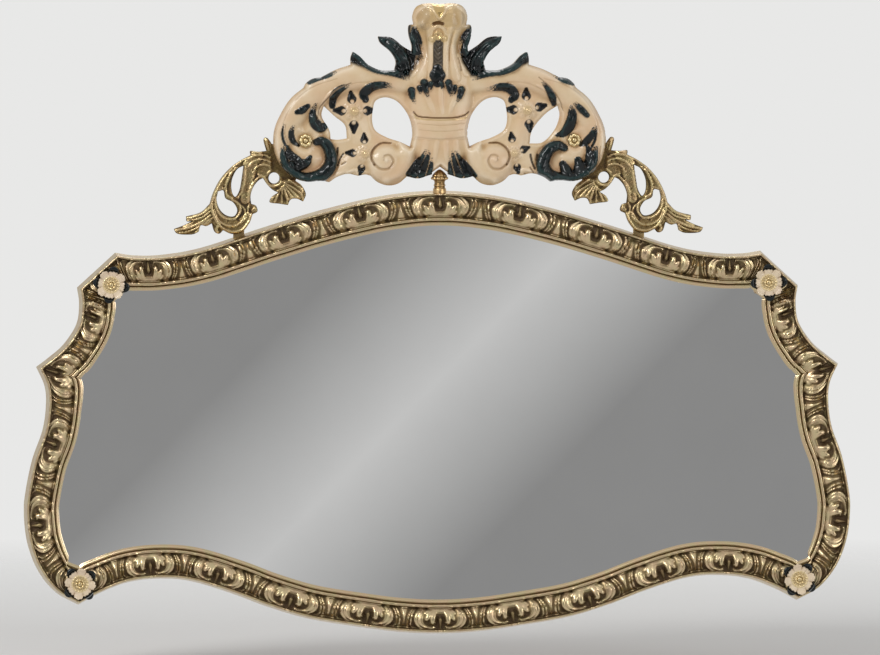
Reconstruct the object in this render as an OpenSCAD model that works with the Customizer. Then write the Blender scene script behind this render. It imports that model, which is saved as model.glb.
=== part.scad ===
/* [Frame] */
// Overall width of the frame, across its two side bulges
frame_w = 1200; // [1150:10:1260]
// Height of the frame, from its lowest to its highest edge
frame_h = 640; // [600:5:690]
// Distance of the shoulder corners from the widest point of the frame
shoulder_inset = 132; // [120:1:145]
// Width of the straight corner that carries a top flower
chamfer_w = 55; // [48:1:62]
// Height of the straight corner that carries a top flower
chamfer_h = 50; // [44:1:56]
// Drop of the arched top rail, from its middle to its shoulders
arch_drop = 92; // [80:1:105]
// Depth of the two side points below the top edge
side_point_drop = 252; // [240:1:265]
// Distance of the side points from the widest point of the frame
side_point_inset = 18; // [12:1:26]
// Distance of the bottom corners from the widest point of the frame
foot_inset = 78; // [70:1:88]
// Height of the bottom corners above the lowest edge
foot_rise = 45; // [38:1:52]

/* [Moulding] */
// Width of the cast moulding, from its outer edge to the mirror
moulding_w = 50; // [49:0.5:54]
// Height of the moulding's crown in front of the wall
moulding_d = 27; // [26:0.5:31]
// Thickness of the outer wall where it meets the wall of the room
rim_w = 4.5; // [3.5:0.5:6]
// Overlap of the front lip over the mirror
lip_w = 8; // [6:0.5:9]
// Width of the land that carries the screws
land_w = 20; // [19:0.5:21]
// Distance from the wall to the land
land_f = 8; // [7.5:0.5:9]
// Height of the hollow channel behind the crown
channel_f = 18.5; // [16:0.5:19.5]

/* [Mirror] */
// Thickness of the mirror glass
glass_t = 4; // [3:0.5:5]
// Thickness of the backing board
board_t = 3; // [2:0.5:4]
// Clearance between the glass and the rebate
glass_gap = 1; // [0.5:0.25:2]

/* [Crest] */
// Height of the crest's datum above the top edge of the frame
crest_lift = 4; // [2:1:8]
// Distance from the wall to the back of the crest
crest_f = 10.5; // [10:0.5:14]
// Thickness of the crest where it is plain
crest_t = 9; // [7:0.5:12]
// Distance between the two bolts that hold the crest
crest_bolt_spacing = 389; // [380:1:396]
// Height of the crest bolts above the crest's datum
crest_bolt_h = 69; // [64:1:74]

/* [Brackets] */
// Distance from the wall to the back of a bracket
bracket_f = 4.5; // [4:0.25:5]
// Thickness of a bracket
bracket_t = 5; // [4:0.25:5.5]
// Distance of each bracket's foot from the middle of the frame
foot_x = 290; // [286:1:294]
// Width of a bracket's foot
foot_w = 16; // [12:1:18]
// Thickness of a bracket's foot
foot_t = 3; // [2:0.25:3.5]

/* [Flowers] */
// Outer diameter of a corner flower's petals
flower_d = 43; // [38:1:46]
// Outer diameter across the dark sepals behind the petals
sepal_d = 51; // [47:1:54]
// Distance of the flower bolts from the frame's outer edge
flower_in = 28; // [27:0.5:30]

/* [Hanging] */
// Distance of the hangers from the widest point of the frame
hanger_inset = 198; // [194:1:210]
// Distance of the hanger pivots from the frame's outer edge
hanger_in = 37; // [36:0.5:38]
// Length of a hanger plate
hanger_l = 42; // [40:1:46]
// Width of a hanger plate
hanger_w = 14; // [12:0.5:15]
// Thickness of a hanger plate
hanger_t = 2; // [1.5:0.25:2.25]
// Wire diameter of a hanging ring
wire_d = 3.6; // [3:0.1:4]
// Inner width of a hanging ring
ring_w = 19; // [16:0.5:20]
// Straight part of a hanging ring below its pivot
ring_leg = 6; // [5:0.5:8]

/* [Fastenings] */
// Thickness of the joint plates
plate_t = 2.5; // [2:0.25:3]
// Thickness of a turn button
button_t = 1.5; // [1:0.25:2]
// Width of a turn button
button_w = 10; // [8:0.5:11]
// Reach of a turn button from its pivot
button_reach = 18; // [16:0.5:20]
// Distance of the turn button pivots from the frame's outer edge
button_in = 33; // [32:0.5:35]
// Shank diameter of the small screws
screw_d = 3; // [2.5:0.1:3.5]
// Depth of the small screws in the casting
screw_l = 8; // [6:0.5:9]
// Diameter of the bolts through the flowers and the crest
bolt_d = 5; // [4:0.25:5.5]
// Width of a nut across its flats
nut_w = 8; // [7:0.25:8.5]
// Thickness of a nut
nut_t = 3; // [2.5:0.25:3.5]
// Thickness of the leather washers under the porcelain
washer_t = 0.8; // [0.5:0.1:1]
// Clearance round screws and bolts
hole_gap = 0.25; // [0.15:0.05:0.4]
// Clearance between faces of pieces that move or only rest
face_gap = 0.2; // [0.1:0.05:0.3]

/* [Hidden] */
$fn = 48;

// How far a cut runs past the face that it starts from, and a cut through everything
over = 1;
far = 60;

// Colours
brass_colour = [0.73, 0.62, 0.42];
steel_colour = [0.62, 0.64, 0.66];
porcelain_colour = [0.87, 0.79, 0.68];
gilt_colour = [0.83, 0.69, 0.40];
mirror_colour = [0.55, 0.57, 0.58];
board_colour = [0.42, 0.30, 0.20];
leather_colour = [0.35, 0.22, 0.14];

// The five runs of the right half of the outer edge, clockwise from the middle of the top.
// Every run is a smooth curve, and the runs meet at corners. Heights count from the top edge.
half_w = frame_w / 2;
arch_w = half_w - shoulder_inset;
foot_half_w = half_w - foot_inset;
shoulder_share = 0.957;
// Share of the arch's half width, and share of its drop
arch_shape = [
    [0, 0], [0.17, 0.076], [0.353, 0.283], [0.534, 0.554], [0.733, 0.88], [0.855, 0.99],
    [0.94, 1], [1, shoulder_share]
];
// Share of the way from the straight corner to the side point, across and down
waist_shape = [[0, 0], [-0.05, 0.21], [0.02, 0.465], [0.34, 0.72], [0.73, 0.895], [1, 1]];
// Distance from the widest point, and share of the way down to the bottom corner
bulge_shape = [
    [side_point_inset, 0], [30, 0.08], [32, 0.16], [27, 0.265], [12, 0.39], [2, 0.53],
    [0, 0.62], [5, 0.74], [20, 0.854], [45, 0.945], [foot_inset, 1]
];
// Share of the bottom edge's half width, and height above its lowest point
apron_shape = [
    [1, foot_rise], [0.939, 62], [0.862, 77], [0.776, 82], [0.688, 78], [0.575, 60],
    [0.479, 41], [0.364, 23], [0.23, 11], [0.115, 3], [0, 0]
];

function drawn(shape, origin, size) =
    [for (p = shape) [origin.x + size.x * p.x, origin.y + size.y * p.y]];
shoulder = [arch_w, -arch_drop * shoulder_share];
elbow = [shoulder.x + chamfer_w, shoulder.y - chamfer_h];
side_point = [half_w - side_point_inset, -side_point_drop];
foot = [foot_half_w, foot_rise - frame_h];
knots = [
    drawn(arch_shape, [0, 0], [arch_w, -arch_drop]),
    [shoulder, elbow],
    drawn(waist_shape, elbow, side_point - elbow),
    [for (p = bulge_shape) [half_w - p.x, side_point.y + (foot.y - side_point.y) * p.y]],
    drawn(apron_shape, [0, -frame_h], [foot_half_w, 1])
];

// A smooth curve through knots, with one extra knot before the first and after the last
function before(p) = 2 * p[0] - p[1];
function after(p) = 2 * p[len(p) - 1] - p[len(p) - 2];
function flipped(p) = [-p.x, p.y];
function eased(p) = concat([before(p)], p, [after(p)]);
function curve_at(q, u) =
    let (m = len(q) - 3, s = min(floor(u * m), m - 1), t = u * m - s, a = q[s], b = q[s + 1])
    let (c = q[s + 2], d = q[s + 3])
    0.5 * (2 * b + (c - a) * t + (2 * a - 5 * b + 4 * c - d) * t * t
        + (3 * b - a - 3 * c + d) * t * t * t);
function way_at(q, u) =
    let (m = len(q) - 3, s = min(floor(u * m), m - 1), t = u * m - s, a = q[s], b = q[s + 1])
    let (c = q[s + 2], d = q[s + 3])
    unit(c - a + 2 * (2 * a - 5 * b + 4 * c - d) * t + 3 * (3 * b - a - 3 * c + d) * t * t);
function unit(v) = v / norm(v);
function smooth(p, n) = let (q = eased(p)) [for (k = [0:n]) curve_at(q, k / n)];
function joined(list, n) = [for (p = list) for (v = smooth(p, n * (len(p) - 1))) v];

// The runs, with the top and bottom middles level because their outer knots are mirrored
runs = [
    concat([flipped(knots[0][1])], knots[0], [after(knots[0])]),
    eased(knots[1]),
    eased(knots[2]),
    eased(knots[3]),
    concat([before(knots[4])], knots[4], [flipped(knots[4][9])])
];
run_steps = [21, 2, 10, 20, 20];
ARCH = 0;
CORNER = 1;
WAIST = 2;
BULGE = 3;
APRON = 4;

// At a corner the moulding is mitred: its cross-section leans along the run, less and less
// over the first stretch, so that the inner edge doesn't fold over itself
mitre_l = 110;
function run_length(q) = let (n = 24)
    [for (k = [1:n]) norm(curve_at(q, k / n) - curve_at(q, (k - 1) / n))] * [for (k = [1:n]) 1];
lengths = [for (q = runs) run_length(q)];
function turn(a, b) = atan2(a.y * b.x - a.x * b.y, a * b);
leans = [
    0,
    for (k = [0:3]) tan(turn(way_at(runs[k], 1), way_at(runs[k + 1], 0)) / 2),
    0
];
function fade(r, s) = max(0, 1 - s / min(mitre_l, lengths[r]));
function spoke(r, u) =
    let (t = way_at(runs[r], u))
    [t.y, -t.x] + t * (leans[r] * fade(r, u * lengths[r])
        - leans[r + 1] * fade(r, (1 - u) * lengths[r]));

// Where a run passes a given distance from one of its ends, and where it passes a given
// width or height, found by halving
function u_near(r, from, s, lo, hi, n = 18) =
    let (mid = (lo + hi) / 2, d = norm(curve_at(runs[r], mid) - curve_at(runs[r], from)))
    n == 0 ? mid
        : (d > s) == (from < mid) ? u_near(r, from, s, lo, mid, n - 1)
        : u_near(r, from, s, mid, hi, n - 1);
function u_after(r, s) = u_near(r, 0, s, 0, 0.5);
function u_before(r, s) = u_near(r, 1, s, 0.5, 1);
function u_where(r, axis, value, lo = 0, hi = 1, n = 18) =
    let (mid = (lo + hi) / 2, rising = curve_at(runs[r], 1)[axis] > curve_at(runs[r], 0)[axis])
    n == 0 ? mid
        : (curve_at(runs[r], mid)[axis] > value) == rising
        ? u_where(r, axis, value, lo, mid, n - 1)
        : u_where(r, axis, value, mid, hi, n - 1);

// The hanging line through the two hanger pivots is the height zero
hanger_x = half_w - hanger_inset;
hanger_u = u_where(ARCH, 0, hanger_x);
top_z = -curve_at(runs[ARCH], hanger_u).y - spoke(ARCH, hanger_u).y * hanger_in;
function spot(r, u, v) = curve_at(runs[r], u) + spoke(r, u) * v + [0, top_z];
crest_z = top_z + crest_lift;

// Stations round the right half: a point on the outer edge and the way inwards
half = [
    for (r = [0:4]) for (k = [(r == 0 ? 0 : 1):run_steps[r]])
        [spot(r, k / run_steps[r], 0), spoke(r, k / run_steps[r])]
];
top_seam = run_steps[0] + 1;
side_seam = top_seam + 1 + run_steps[2];
foot_seam = side_seam + run_steps[3];
function flip(s) = [flipped(s[0]), flipped(s[1])];
function stretch(from, to) = [for (k = [from:to]) half[k]];
function mirrored_back(from, to) = [for (k = [to:-1:from]) flip(half[k])];

// Cross-section of the moulding: across from the outer edge, and forward from the wall.
// The front runs from the outer edge over two beads and a crown to the lip at the mirror.
groove_out = [9.5, moulding_d - 4.8];
groove_in = [moulding_w - 11.2, moulding_d - 7];
crown_h = 5.9;
crown_steps = 6;
wall_step = 3.5;
lip_f = land_f + board_t + glass_t;
rebate = moulding_w - lip_w;
front = [
    [0, 0], [rim_w, moulding_d - 4], [6.7, moulding_d - 1], [8.8, moulding_d - 3.8],
    for (k = [0:crown_steps])
        let (t = k / crown_steps) groove_out * (1 - t) + groove_in * t + [0, crown_h * sin(180 * t)],
    [moulding_w - 9, moulding_d - 4.8], [moulding_w - 6.8, moulding_d - 7.2],
    [moulding_w - 6, moulding_d - 8], [moulding_w - 2.5, moulding_d - 8], [moulding_w, lip_f]
];
back = [
    [rebate, lip_f], [rebate, land_f], [rebate - land_w, land_f], [rebate - land_w, channel_f],
    [rim_w + wall_step, channel_f], [rim_w, 0]
];
section = concat(front, back);
// Fans of points that cover the two ends of a casting
section_ends = [
    [0, 1, 20, 21], [20, 1, 2, 3, 4, 5, 6], [20, 6, 19], [19, 6, 7, 8, 9],
    [17, 18, 19, 9, 10, 11, 16], [16, 11, 12, 13, 14, 15]
];

module casting(stations) {
    n = len(section);
    last = (len(stations) - 1) * n;
    points = [
        for (s = stations) for (p = section)
            [s[0].x + s[1].x * p.x, -p.y, s[0].y + s[1].y * p.x]
    ];
    skin = [
        for (k = [0:len(stations) - 2]) for (i = [0:n - 1])
            let (a = k * n + i, b = k * n + (i + 1) % n)
            each [[a, b + n, b], [a, a + n, b + n]]
    ];
    first_end = [for (f = section_ends) for (i = [1:len(f) - 2]) [f[0], f[i], f[i + 1]]];
    last_end = [for (f = first_end) [last + f[0], last + f[2], last + f[1]]];
    polyhedron(points, concat(skin, first_end, last_end));
}

// Places a child at a spot on the back, pointing forward from a distance in front of the wall
module placed(p, f) translate([p.x, -f, p.y]) rotate([90, 0, 0]) children();
module both_sides() {
    children();
    mirror([1, 0, 0]) children();
}
module prism(points, f, t) placed([0, 0], f) linear_extrude(t) polygon(points);

// Fastening spots on the right half
corner_screw_s = 12;
side_screw_s = [14, 27];
foot_screw_s = 15;
plate_end_s = 7;
land_mid = rebate - land_w / 2;
corner_screws = [
    spot(ARCH, u_before(ARCH, corner_screw_s), land_mid),
    spot(WAIST, u_after(WAIST, corner_screw_s), land_mid)
];
side_screws = [
    for (s = side_screw_s) spot(WAIST, u_before(WAIST, s), land_mid),
    for (s = side_screw_s) spot(BULGE, u_after(BULGE, s), land_mid)
];
foot_screws = [
    spot(BULGE, u_before(BULGE, foot_screw_s), land_mid),
    spot(APRON, u_after(APRON, foot_screw_s), land_mid)
];
plate_spots = concat(corner_screws, side_screws, foot_screws);
top_flower = spot(CORNER, 0.5, flower_in);
foot_flower = spot(BULGE, 1, flower_in);
flower_spots = [top_flower, foot_flower];

// Turn buttons: two on each rail and two on each lower side
arch_button_share = 0.44;
bulge_button_shares = [0.27, 0.72];
apron_button_share = 0.385;
bulge_h = frame_h - foot_rise - side_point_drop;
button_us = [
    [ARCH, u_where(ARCH, 0, arch_w * arch_button_share)],
    for (s = bulge_button_shares) [BULGE, u_where(BULGE, 1, -side_point_drop - bulge_h * s)],
    [APRON, u_where(APRON, 0, foot_half_w * apron_button_share)]
];
button_spots = [for (b = button_us) spot(b[0], b[1], button_in)];
button_turns = [for (b = button_us) let (w = way_at(runs[b[0]], b[1])) atan2(w.y, w.x) - 90];

// Hangers
hanger_p = [hanger_x, 0];
ring_gap = 0.6;
pivot_f = land_f - hanger_t - ring_gap - wire_d / 2;
hanger_screw_end = 4.2;
hanger_screw_x = hanger_l / 2 - hanger_screw_end;
hanger_screw_z = 4;
hanger_screw_spots = [for (s = [-1, 1]) hanger_p + [s * hanger_screw_x, hanger_screw_z]];

// Bracket feet
foot_u = u_where(ARCH, 0, foot_x);
foot_margin = 2.5;
foot_tip_z = spot(ARCH, foot_u, rebate - foot_margin).y;
foot_screw_end = 4.5;
foot_screw_pitch = 9;
bracket_screw_spots = [
    for (k = [0, 1]) [foot_x, foot_tip_z + foot_screw_end + k * foot_screw_pitch]
];

stem_f = 14;
bolt_hole = bolt_d + 2 * hole_gap;
screw_hole_d = screw_d + 2 * hole_gap;

// A hole in the land for a screw, a little deeper than the screw
hole_spare = 0.5;
module screw_hole(p) placed(p, land_f - over)
    cylinder(d = screw_hole_d, h = over + screw_l + hole_spare);
module through_holes(spots, d) for (p = spots) placed(p, -over) cylinder(d = d, h = far);
module foot_slot() translate([foot_x - foot_w / 2 - face_gap, -land_f - face_gap, foot_tip_z])
    cube([foot_w + 2 * face_gap, land_f + face_gap + over, top_z - foot_tip_z]);

module frame_top_rail() color(brass_colour) difference() {
    casting(concat(mirrored_back(1, top_seam), stretch(0, top_seam)));
    both_sides() {
        for (p = [corner_screws[0], button_spots[0]]) screw_hole(p);
        for (p = hanger_screw_spots) screw_hole(p);
        for (p = bracket_screw_spots) screw_hole(p);
        through_holes([top_flower], bolt_hole);
        foot_slot();
    }
    translate([0, -stem_f, top_z - stud_l]) cylinder(d = stud_d + 2 * hole_gap, h = far);
}

module frame_bottom_rail() color(brass_colour) difference() {
    casting(concat(stretch(foot_seam, len(half) - 1), mirrored_back(foot_seam, len(half) - 2)));
    both_sides() {
        for (p = [foot_screws[1], button_spots[3]]) screw_hole(p);
        through_holes([foot_flower], bolt_hole);
    }
}

module upper_side() color(brass_colour) difference() {
    casting(stretch(top_seam, side_seam));
    for (p = [corner_screws[1], side_screws[0], side_screws[1]]) screw_hole(p);
    through_holes([top_flower], bolt_hole);
}

module lower_side() color(brass_colour) difference() {
    casting(stretch(side_seam, foot_seam));
    for (p = [side_screws[2], side_screws[3], button_spots[1], button_spots[2], foot_screws[0]])
        screw_hole(p);
    through_holes([foot_flower], bolt_hole);
}

module frame_right_upper() upper_side();
module frame_right_lower() lower_side();
module frame_left_upper() mirror([1, 0, 0]) upper_side();
module frame_left_lower() mirror([1, 0, 0]) lower_side();

// Steel plates on the land behind the mitred joints
plate_edge = 1;
function band(path, v) = [for (s = path) spot(s[0], s[1], v)];
function reversed(p) = [for (k = [len(p) - 1:-1:0]) p[k]];
module joint_plate(path, screws, bolts) color(steel_colour) difference() {
    prism(
        concat(
            band(path, rebate - land_w + plate_edge),
            reversed(band(path, rebate - plate_edge))
        ),
        land_f - plate_t, plate_t
    );
    through_holes(screws, screw_hole_d);
    through_holes(bolts, bolt_hole);
}
function ending(r, s) = [for (k = [3:-1:0]) [r, k == 0 ? 1 : u_before(r, s * k / 3)]];
function starting(r, s) = [for (k = [1:3]) [r, u_after(r, s * k / 3)]];
corner_path = concat(
    ending(ARCH, corner_screw_s + plate_end_s), [[CORNER, 0.5], [CORNER, 1]],
    starting(WAIST, corner_screw_s + plate_end_s)
);
side_path = concat(
    ending(WAIST, side_screw_s[1] + plate_end_s), starting(BULGE, side_screw_s[1] + plate_end_s)
);
foot_path = concat(
    ending(BULGE, foot_screw_s + plate_end_s), starting(APRON, foot_screw_s + plate_end_s)
);
module corner_plate_top_right() joint_plate(corner_path, corner_screws, [top_flower]);
module corner_plate_top_left() mirror([1, 0, 0]) corner_plate_top_right();
module corner_plate_bottom_right() joint_plate(foot_path, foot_screws, [foot_flower]);
module corner_plate_bottom_left() mirror([1, 0, 0]) corner_plate_bottom_right();
module side_plate_right() joint_plate(side_path, side_screws, []);
module side_plate_left() mirror([1, 0, 0]) side_plate_right();

// Pan-headed screw, driven forward from a seat
screw_head_d = 5.6;
screw_head_h = 1.8;
module screw(p, seat) placed(p, seat - screw_head_h) {
    cylinder(d = screw_head_d, h = screw_head_h);
    cylinder(d = screw_d, h = screw_head_h + land_f - seat + screw_l);
}
module plate_screws() color(steel_colour) both_sides() for (p = plate_spots) screw(p, land_f - plate_t);
module button_screws() color(steel_colour)
    both_sides() for (p = button_spots) screw(p, land_f - button_t - 2 * face_gap);
module hanger_screws() color(steel_colour)
    both_sides() for (p = hanger_screw_spots) screw(p, land_f - hanger_t);
module bracket_screws() color(steel_colour)
    both_sides() for (p = bracket_screw_spots) screw(p, land_f - foot_t);

// Mirror and its backing board share one outline inside the rebate
pane = concat(
    [for (s = half) s[0] + s[1] * (rebate + glass_gap)],
    [for (k = [len(half) - 2:-1:1]) flipped(half[k][0] + half[k][1] * (rebate + glass_gap))]
);
module mirror_glass() color(mirror_colour) prism(pane, land_f + board_t, glass_t);
module backing_board() color(board_colour) prism(pane, land_f, board_t);

// Turn button: a flat steel strip with round ends that swings over the backing board
button_tail = 5;
module turn_button(p, angle) color(steel_colour)
    placed(p, land_f - button_t - face_gap) rotate([0, 0, angle]) difference() {
        linear_extrude(button_t) union() {
            circle(d = button_w);
            translate([0, -button_w / 2]) square([button_reach - button_w / 2, button_w]);
            translate([button_reach - button_w / 2, 0]) circle(d = button_w);
        }
        translate([0, 0, -over]) cylinder(d = screw_hole_d, h = far);
    }
module turn_button_1() turn_button(button_spots[0], button_turns[0]);
module turn_button_2() turn_button(button_spots[1], button_turns[1]);
module turn_button_3() turn_button(button_spots[2], button_turns[2]);
module turn_button_4() turn_button(button_spots[3], button_turns[3]);
module turn_button_5() mirror([1, 0, 0]) turn_button_1();
module turn_button_6() mirror([1, 0, 0]) turn_button_2();
module turn_button_7() mirror([1, 0, 0]) turn_button_3();
module turn_button_8() mirror([1, 0, 0]) turn_button_4();

// Porcelain flower: a dish of notched petals over four pointed sepals
flower_seat = moulding_d + face_gap;
flower_hub = 7;
petals = 8;
petal_notch = 3.4;
sepals = 4;
sepal_taper = 0.8;
outline_steps = 96;
function petal_r(a) = flower_d / 2 - petal_notch * pow(1 - abs(cos(petals / 2 * a)), 2);
function sepal_r(a) = let (s = pow(abs(cos(sepals / 2 * a)), sepal_taper))
    flower_hub + 3 + (sepal_d / 2 - flower_hub - 3) * s;
module ring_outline(radii) polygon([
    for (k = [0:outline_steps - 1])
        let (a = 360 * k / outline_steps) radii[k] * [cos(a), sin(a)]
]);
petal_radii = [for (k = [0:outline_steps - 1]) petal_r(360 * k / outline_steps)];
sepal_radii = [for (k = [0:outline_steps - 1]) sepal_r(360 * k / outline_steps)];
module flower(p) color(porcelain_colour) placed(p, flower_seat + washer_t) difference() {
    union() {
        intersection() {
            linear_extrude(14) ring_outline(petal_radii);
            rotate_extrude() polygon([
                [0, 0.5], [flower_hub, 0.5], [14, 3], [19, 5.5], [flower_d / 2 + 1, 9],
                [flower_d / 2, 11], [17, 8.5], [12, 6], [7.5, 5], [6.5, 7], [0, 7]
            ]);
        }
        intersection() {
            linear_extrude(8) ring_outline(sepal_radii);
            rotate_extrude() polygon([
                [0, 0.4], [flower_hub, 0.4], [sepal_d / 2 + 1, 3.2], [sepal_d / 2 + 1, 5], [0, 2]
            ]);
        }
        cylinder(r = flower_hub, h = 3);
    }
    translate([0, 0, -over]) cylinder(d = bolt_hole, h = far);
}
module flower_top_right() flower(top_flower);
module flower_top_left() flower(flipped(top_flower));
module flower_bottom_right() flower(foot_flower);
module flower_bottom_left() flower(flipped(foot_flower));

// Gilt boss of a flower, with its bolt through flower, castings and joint plate
boss_d = 14;
boss_h = 4;
flower_top = flower_seat + washer_t + 7 + face_gap;
bolt_end = 0.8;
nut_f = land_f - plate_t - nut_t - face_gap;
module flower_bolt(p) {
    placed(p, flower_top) rotate_extrude() polygon([
        [0, 0], [boss_d / 2, 0], [boss_d / 2, 1], [boss_d / 2 - 1.5, 2.2], [4.4, 1.6],
        [3.6, boss_h - 0.6], [1.8, boss_h], [0, boss_h]
    ]);
    placed(p, nut_f - bolt_end) cylinder(d = bolt_d, h = flower_top - nut_f + bolt_end + over);
}
module flower_bolts() color(gilt_colour) both_sides() for (p = flower_spots) flower_bolt(p);
thread_gap = 0.1;
module nut(d) difference() {
    cylinder(d = nut_w / cos(30), h = nut_t, $fn = 6);
    translate([0, 0, -over]) cylinder(d = d + thread_gap, h = far);
}
module flower_nuts() color(steel_colour)
    both_sides() for (p = flower_spots) placed(p, nut_f) nut(bolt_d);
module washer(d) difference() {
    cylinder(d = d, h = washer_t - face_gap / 2);
    translate([0, 0, -over]) cylinder(d = bolt_hole, h = far);
}
module flower_washers() color(leather_colour)
    both_sides() for (p = flower_spots) placed(p, flower_seat) washer(2 * flower_hub - 1);

// Crest: outline of its right half, in millimetres across and above its datum
crest_edge = [
    [[0, 265], [20, 266.5], [34, 261], [39.5, 248], [38, 236]],
    [[38, 236], [45, 234], [45, 220], [41, 206], [41, 197]],
    [[41, 197], [54, 205], [70, 217], [90, 219]],
    [[90, 219], [86, 209], [72, 197], [64, 183], [66, 170]],
    [[66, 170], [85, 170], [104, 178], [116, 190], [126, 197]],
    [[126, 197], [129, 188], [129, 178]],
    [[129, 178], [150, 171], [172, 160]],
    [[172, 160], [184, 158], [193, 152], [197, 145]],
    [[197, 145], [215, 130], [229, 109], [239, 85], [240, 60], [232, 36], [215, 18], [195, 10],
        [172, 11], [160, 9]],
    [[160, 9], [150, 16], [134, 21], [118, 18]],
    [[118, 18], [108, 20], [100, 18]],
    [[100, 18], [90, 9], [75, 4], [60, 7], [48, 17]],
    [[48, 17], [32, 14], [18, 18], [11.5, 20]]
];
notch_h = 31;
crest_half = joined(crest_edge, 3);
crest_outline = concat(crest_half, [[11.5, 23], [0, notch_h], [-11.5, 23]],
    [for (k = [len(crest_half) - 1:-1:1]) flipped(crest_half[k])]);
eye_outline = [
    [[43, 60], [39.5, 80], [45, 104], [60, 124], [78, 131], [93, 126], [97, 112], [98, 97],
        [93, 83], [76, 73], [58, 67], [43, 60]]
];
left_slot_outline = [
    [[-168, 119], [-152, 104], [-137, 91], [-134, 72]],
    [[-134, 72], [-147, 70], [-158, 71]],
    [[-158, 71], [-160, 84], [-171, 104], [-168, 119]]
];
right_slot_outline = [
    [[171, 119], [174, 104], [167, 84], [150, 66], [130, 64]],
    [[130, 64], [134, 84], [152, 106], [171, 119]]
];
module hole_through(outline) placed([0, crest_z], -over) linear_extrude(far) polygon(joined(outline, 2));

// Raised carving: a rounded ridge along a smooth line. Each knot gives the place across and
// up, the ridge's half width and its height above the ground.
ridge_round = [[-1, 0], [-0.8, 0.55], [0, 1], [0.8, 0.55], [1, 0]];
ridge_foot = 1;
module ridge(line, ground) {
    q = eased(line);
    steps = 3 * (len(line) - 1);
    n = len(ridge_round);
    at = [for (k = [0:steps]) curve_at(q, k / steps)];
    way = [
        for (k = [0:steps])
            let (d = at[min(k + 1, steps)] - at[max(k - 1, 0)]) unit([d.x, d.y])
    ];
    points = [
        for (k = [0:steps]) for (c = ridge_round)
            let (p = at[k], side = [way[k].y, -way[k].x] * c.x * p[2])
            [p.x + side.x, -(ground - ridge_foot + (p[3] + ridge_foot) * c.y), p.y + side.y]
    ];
    skin = [
        for (k = [0:steps - 1]) for (i = [0:n - 1])
            let (a = k * n + i, b = k * n + (i + 1) % n)
            each [[a, b + n, b], [a, a + n, b + n]]
    ];
    ends = [
        for (i = [1:n - 2])
            each [[0, i, i + 1], [steps * n, steps * n + i + 1, steps * n + i]]
    ];
    translate([0, 0, crest_z]) polyhedron(points, concat(skin, ends));
}

body_line = [
    [0, 34, 22, 6], [0, 58, 40, 11], [0, 85, 40, 14], [0, 112, 42, 14], [0, 140, 40, 13],
    [0, 168, 36, 12], [0, 192, 26, 12], [0, 212, 26, 13], [0, 236, 36, 15], [0, 262, 34, 8]
];
stem_line = [[0, 150, 5, 16], [0, 163, 10, 20], [0, 178, 6, 17], [0, 212, 5, 16]];
crest_lines = [
    [[34, 192, 5, 4], [39, 206, 6, 8], [41, 220, 6, 8], [44, 231, 3, 3]],
    [[50, 164, 9, 5], [60, 184, 10, 9], [70, 202, 8, 9], [87, 216, 3, 3]],
    [[66, 165, 4, 3], [92, 171, 6, 7], [112, 183, 6, 7], [124, 193, 2.5, 3]],
    [[50, 152, 6, 5], [90, 158, 8, 8], [140, 162, 9, 9], [180, 145, 12, 11], [212, 112, 12, 12],
        [228, 78, 10, 10], [226, 50, 7, 7], [214, 28, 4, 4]],
    [[178, 64, 4, 8], [165, 66, 8, 12], [158, 50, 10, 15], [162, 30, 11, 16], [180, 19, 10, 15],
        [202, 25, 10, 13], [216, 42, 9, 10], [221, 62, 5, 5]],
    [[184, 116, 3, 4], [186, 100, 9, 9], [178, 84, 8, 9], [168, 80, 3, 4]],
    [[74, 146, 3, 3], [92, 146, 6, 6], [106, 138, 6, 6], [110, 129, 3, 3]],
    [[137, 151, 3, 3], [152, 140, 7, 6], [158, 124, 4, 4]],
    [[154, 14, 3, 3], [138, 28, 6, 6], [122, 42, 9, 7], [112, 56, 11, 8]],
    [[22, 19, 4, 4], [32, 26, 7, 7], [40, 38, 4, 4]]
];
volute = [75, 36];
volute_r = 31;
blossoms = [[126, 112, 13], [107, 50, 12]];
module crest() {
    ground = crest_f + crest_t;
    color(porcelain_colour) difference() {
        union() {
            translate([0, 0, crest_z]) prism(crest_outline, crest_f, crest_t);
            ridge(body_line, ground);
            ridge(stem_line, ground);
            both_sides() {
                for (line = crest_lines) ridge(line, ground);
                placed(volute + [0, crest_z], ground - 1) rotate_extrude() polygon([
                    [0, 0], [volute_r, 0], [volute_r - 1, 6], [volute_r - 5, 9], [volute_r - 7, 7.6],
                    [volute_r - 12, 11], [volute_r - 14, 10], [volute_r - 22, 14], [0, 15]
                ]);
                for (b = blossoms) placed([b.x, b.y + crest_z], ground - 1) rotate_extrude() polygon([
                    [0, 0], [b.z, 0], [b.z - 1, 5], [6, 6.5], [5, 9], [0, 9.6]
                ]);
            }
        }
        hole_through(eye_outline);
        mirror([1, 0, 0]) hole_through(eye_outline);
        hole_through(left_slot_outline);
        hole_through(right_slot_outline);
        both_sides() {
            through_holes([crest_bolt_p], bolt_hole);
            placed(crest_bolt_p, ground + rosette_seat) cylinder(d = rosette_d + 2, h = far);
        }
        translate([0, -stem_f, crest_z]) cylinder(d = pin_d + 2 * hole_gap, h = pin_top + 1);
    }
}

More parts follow.
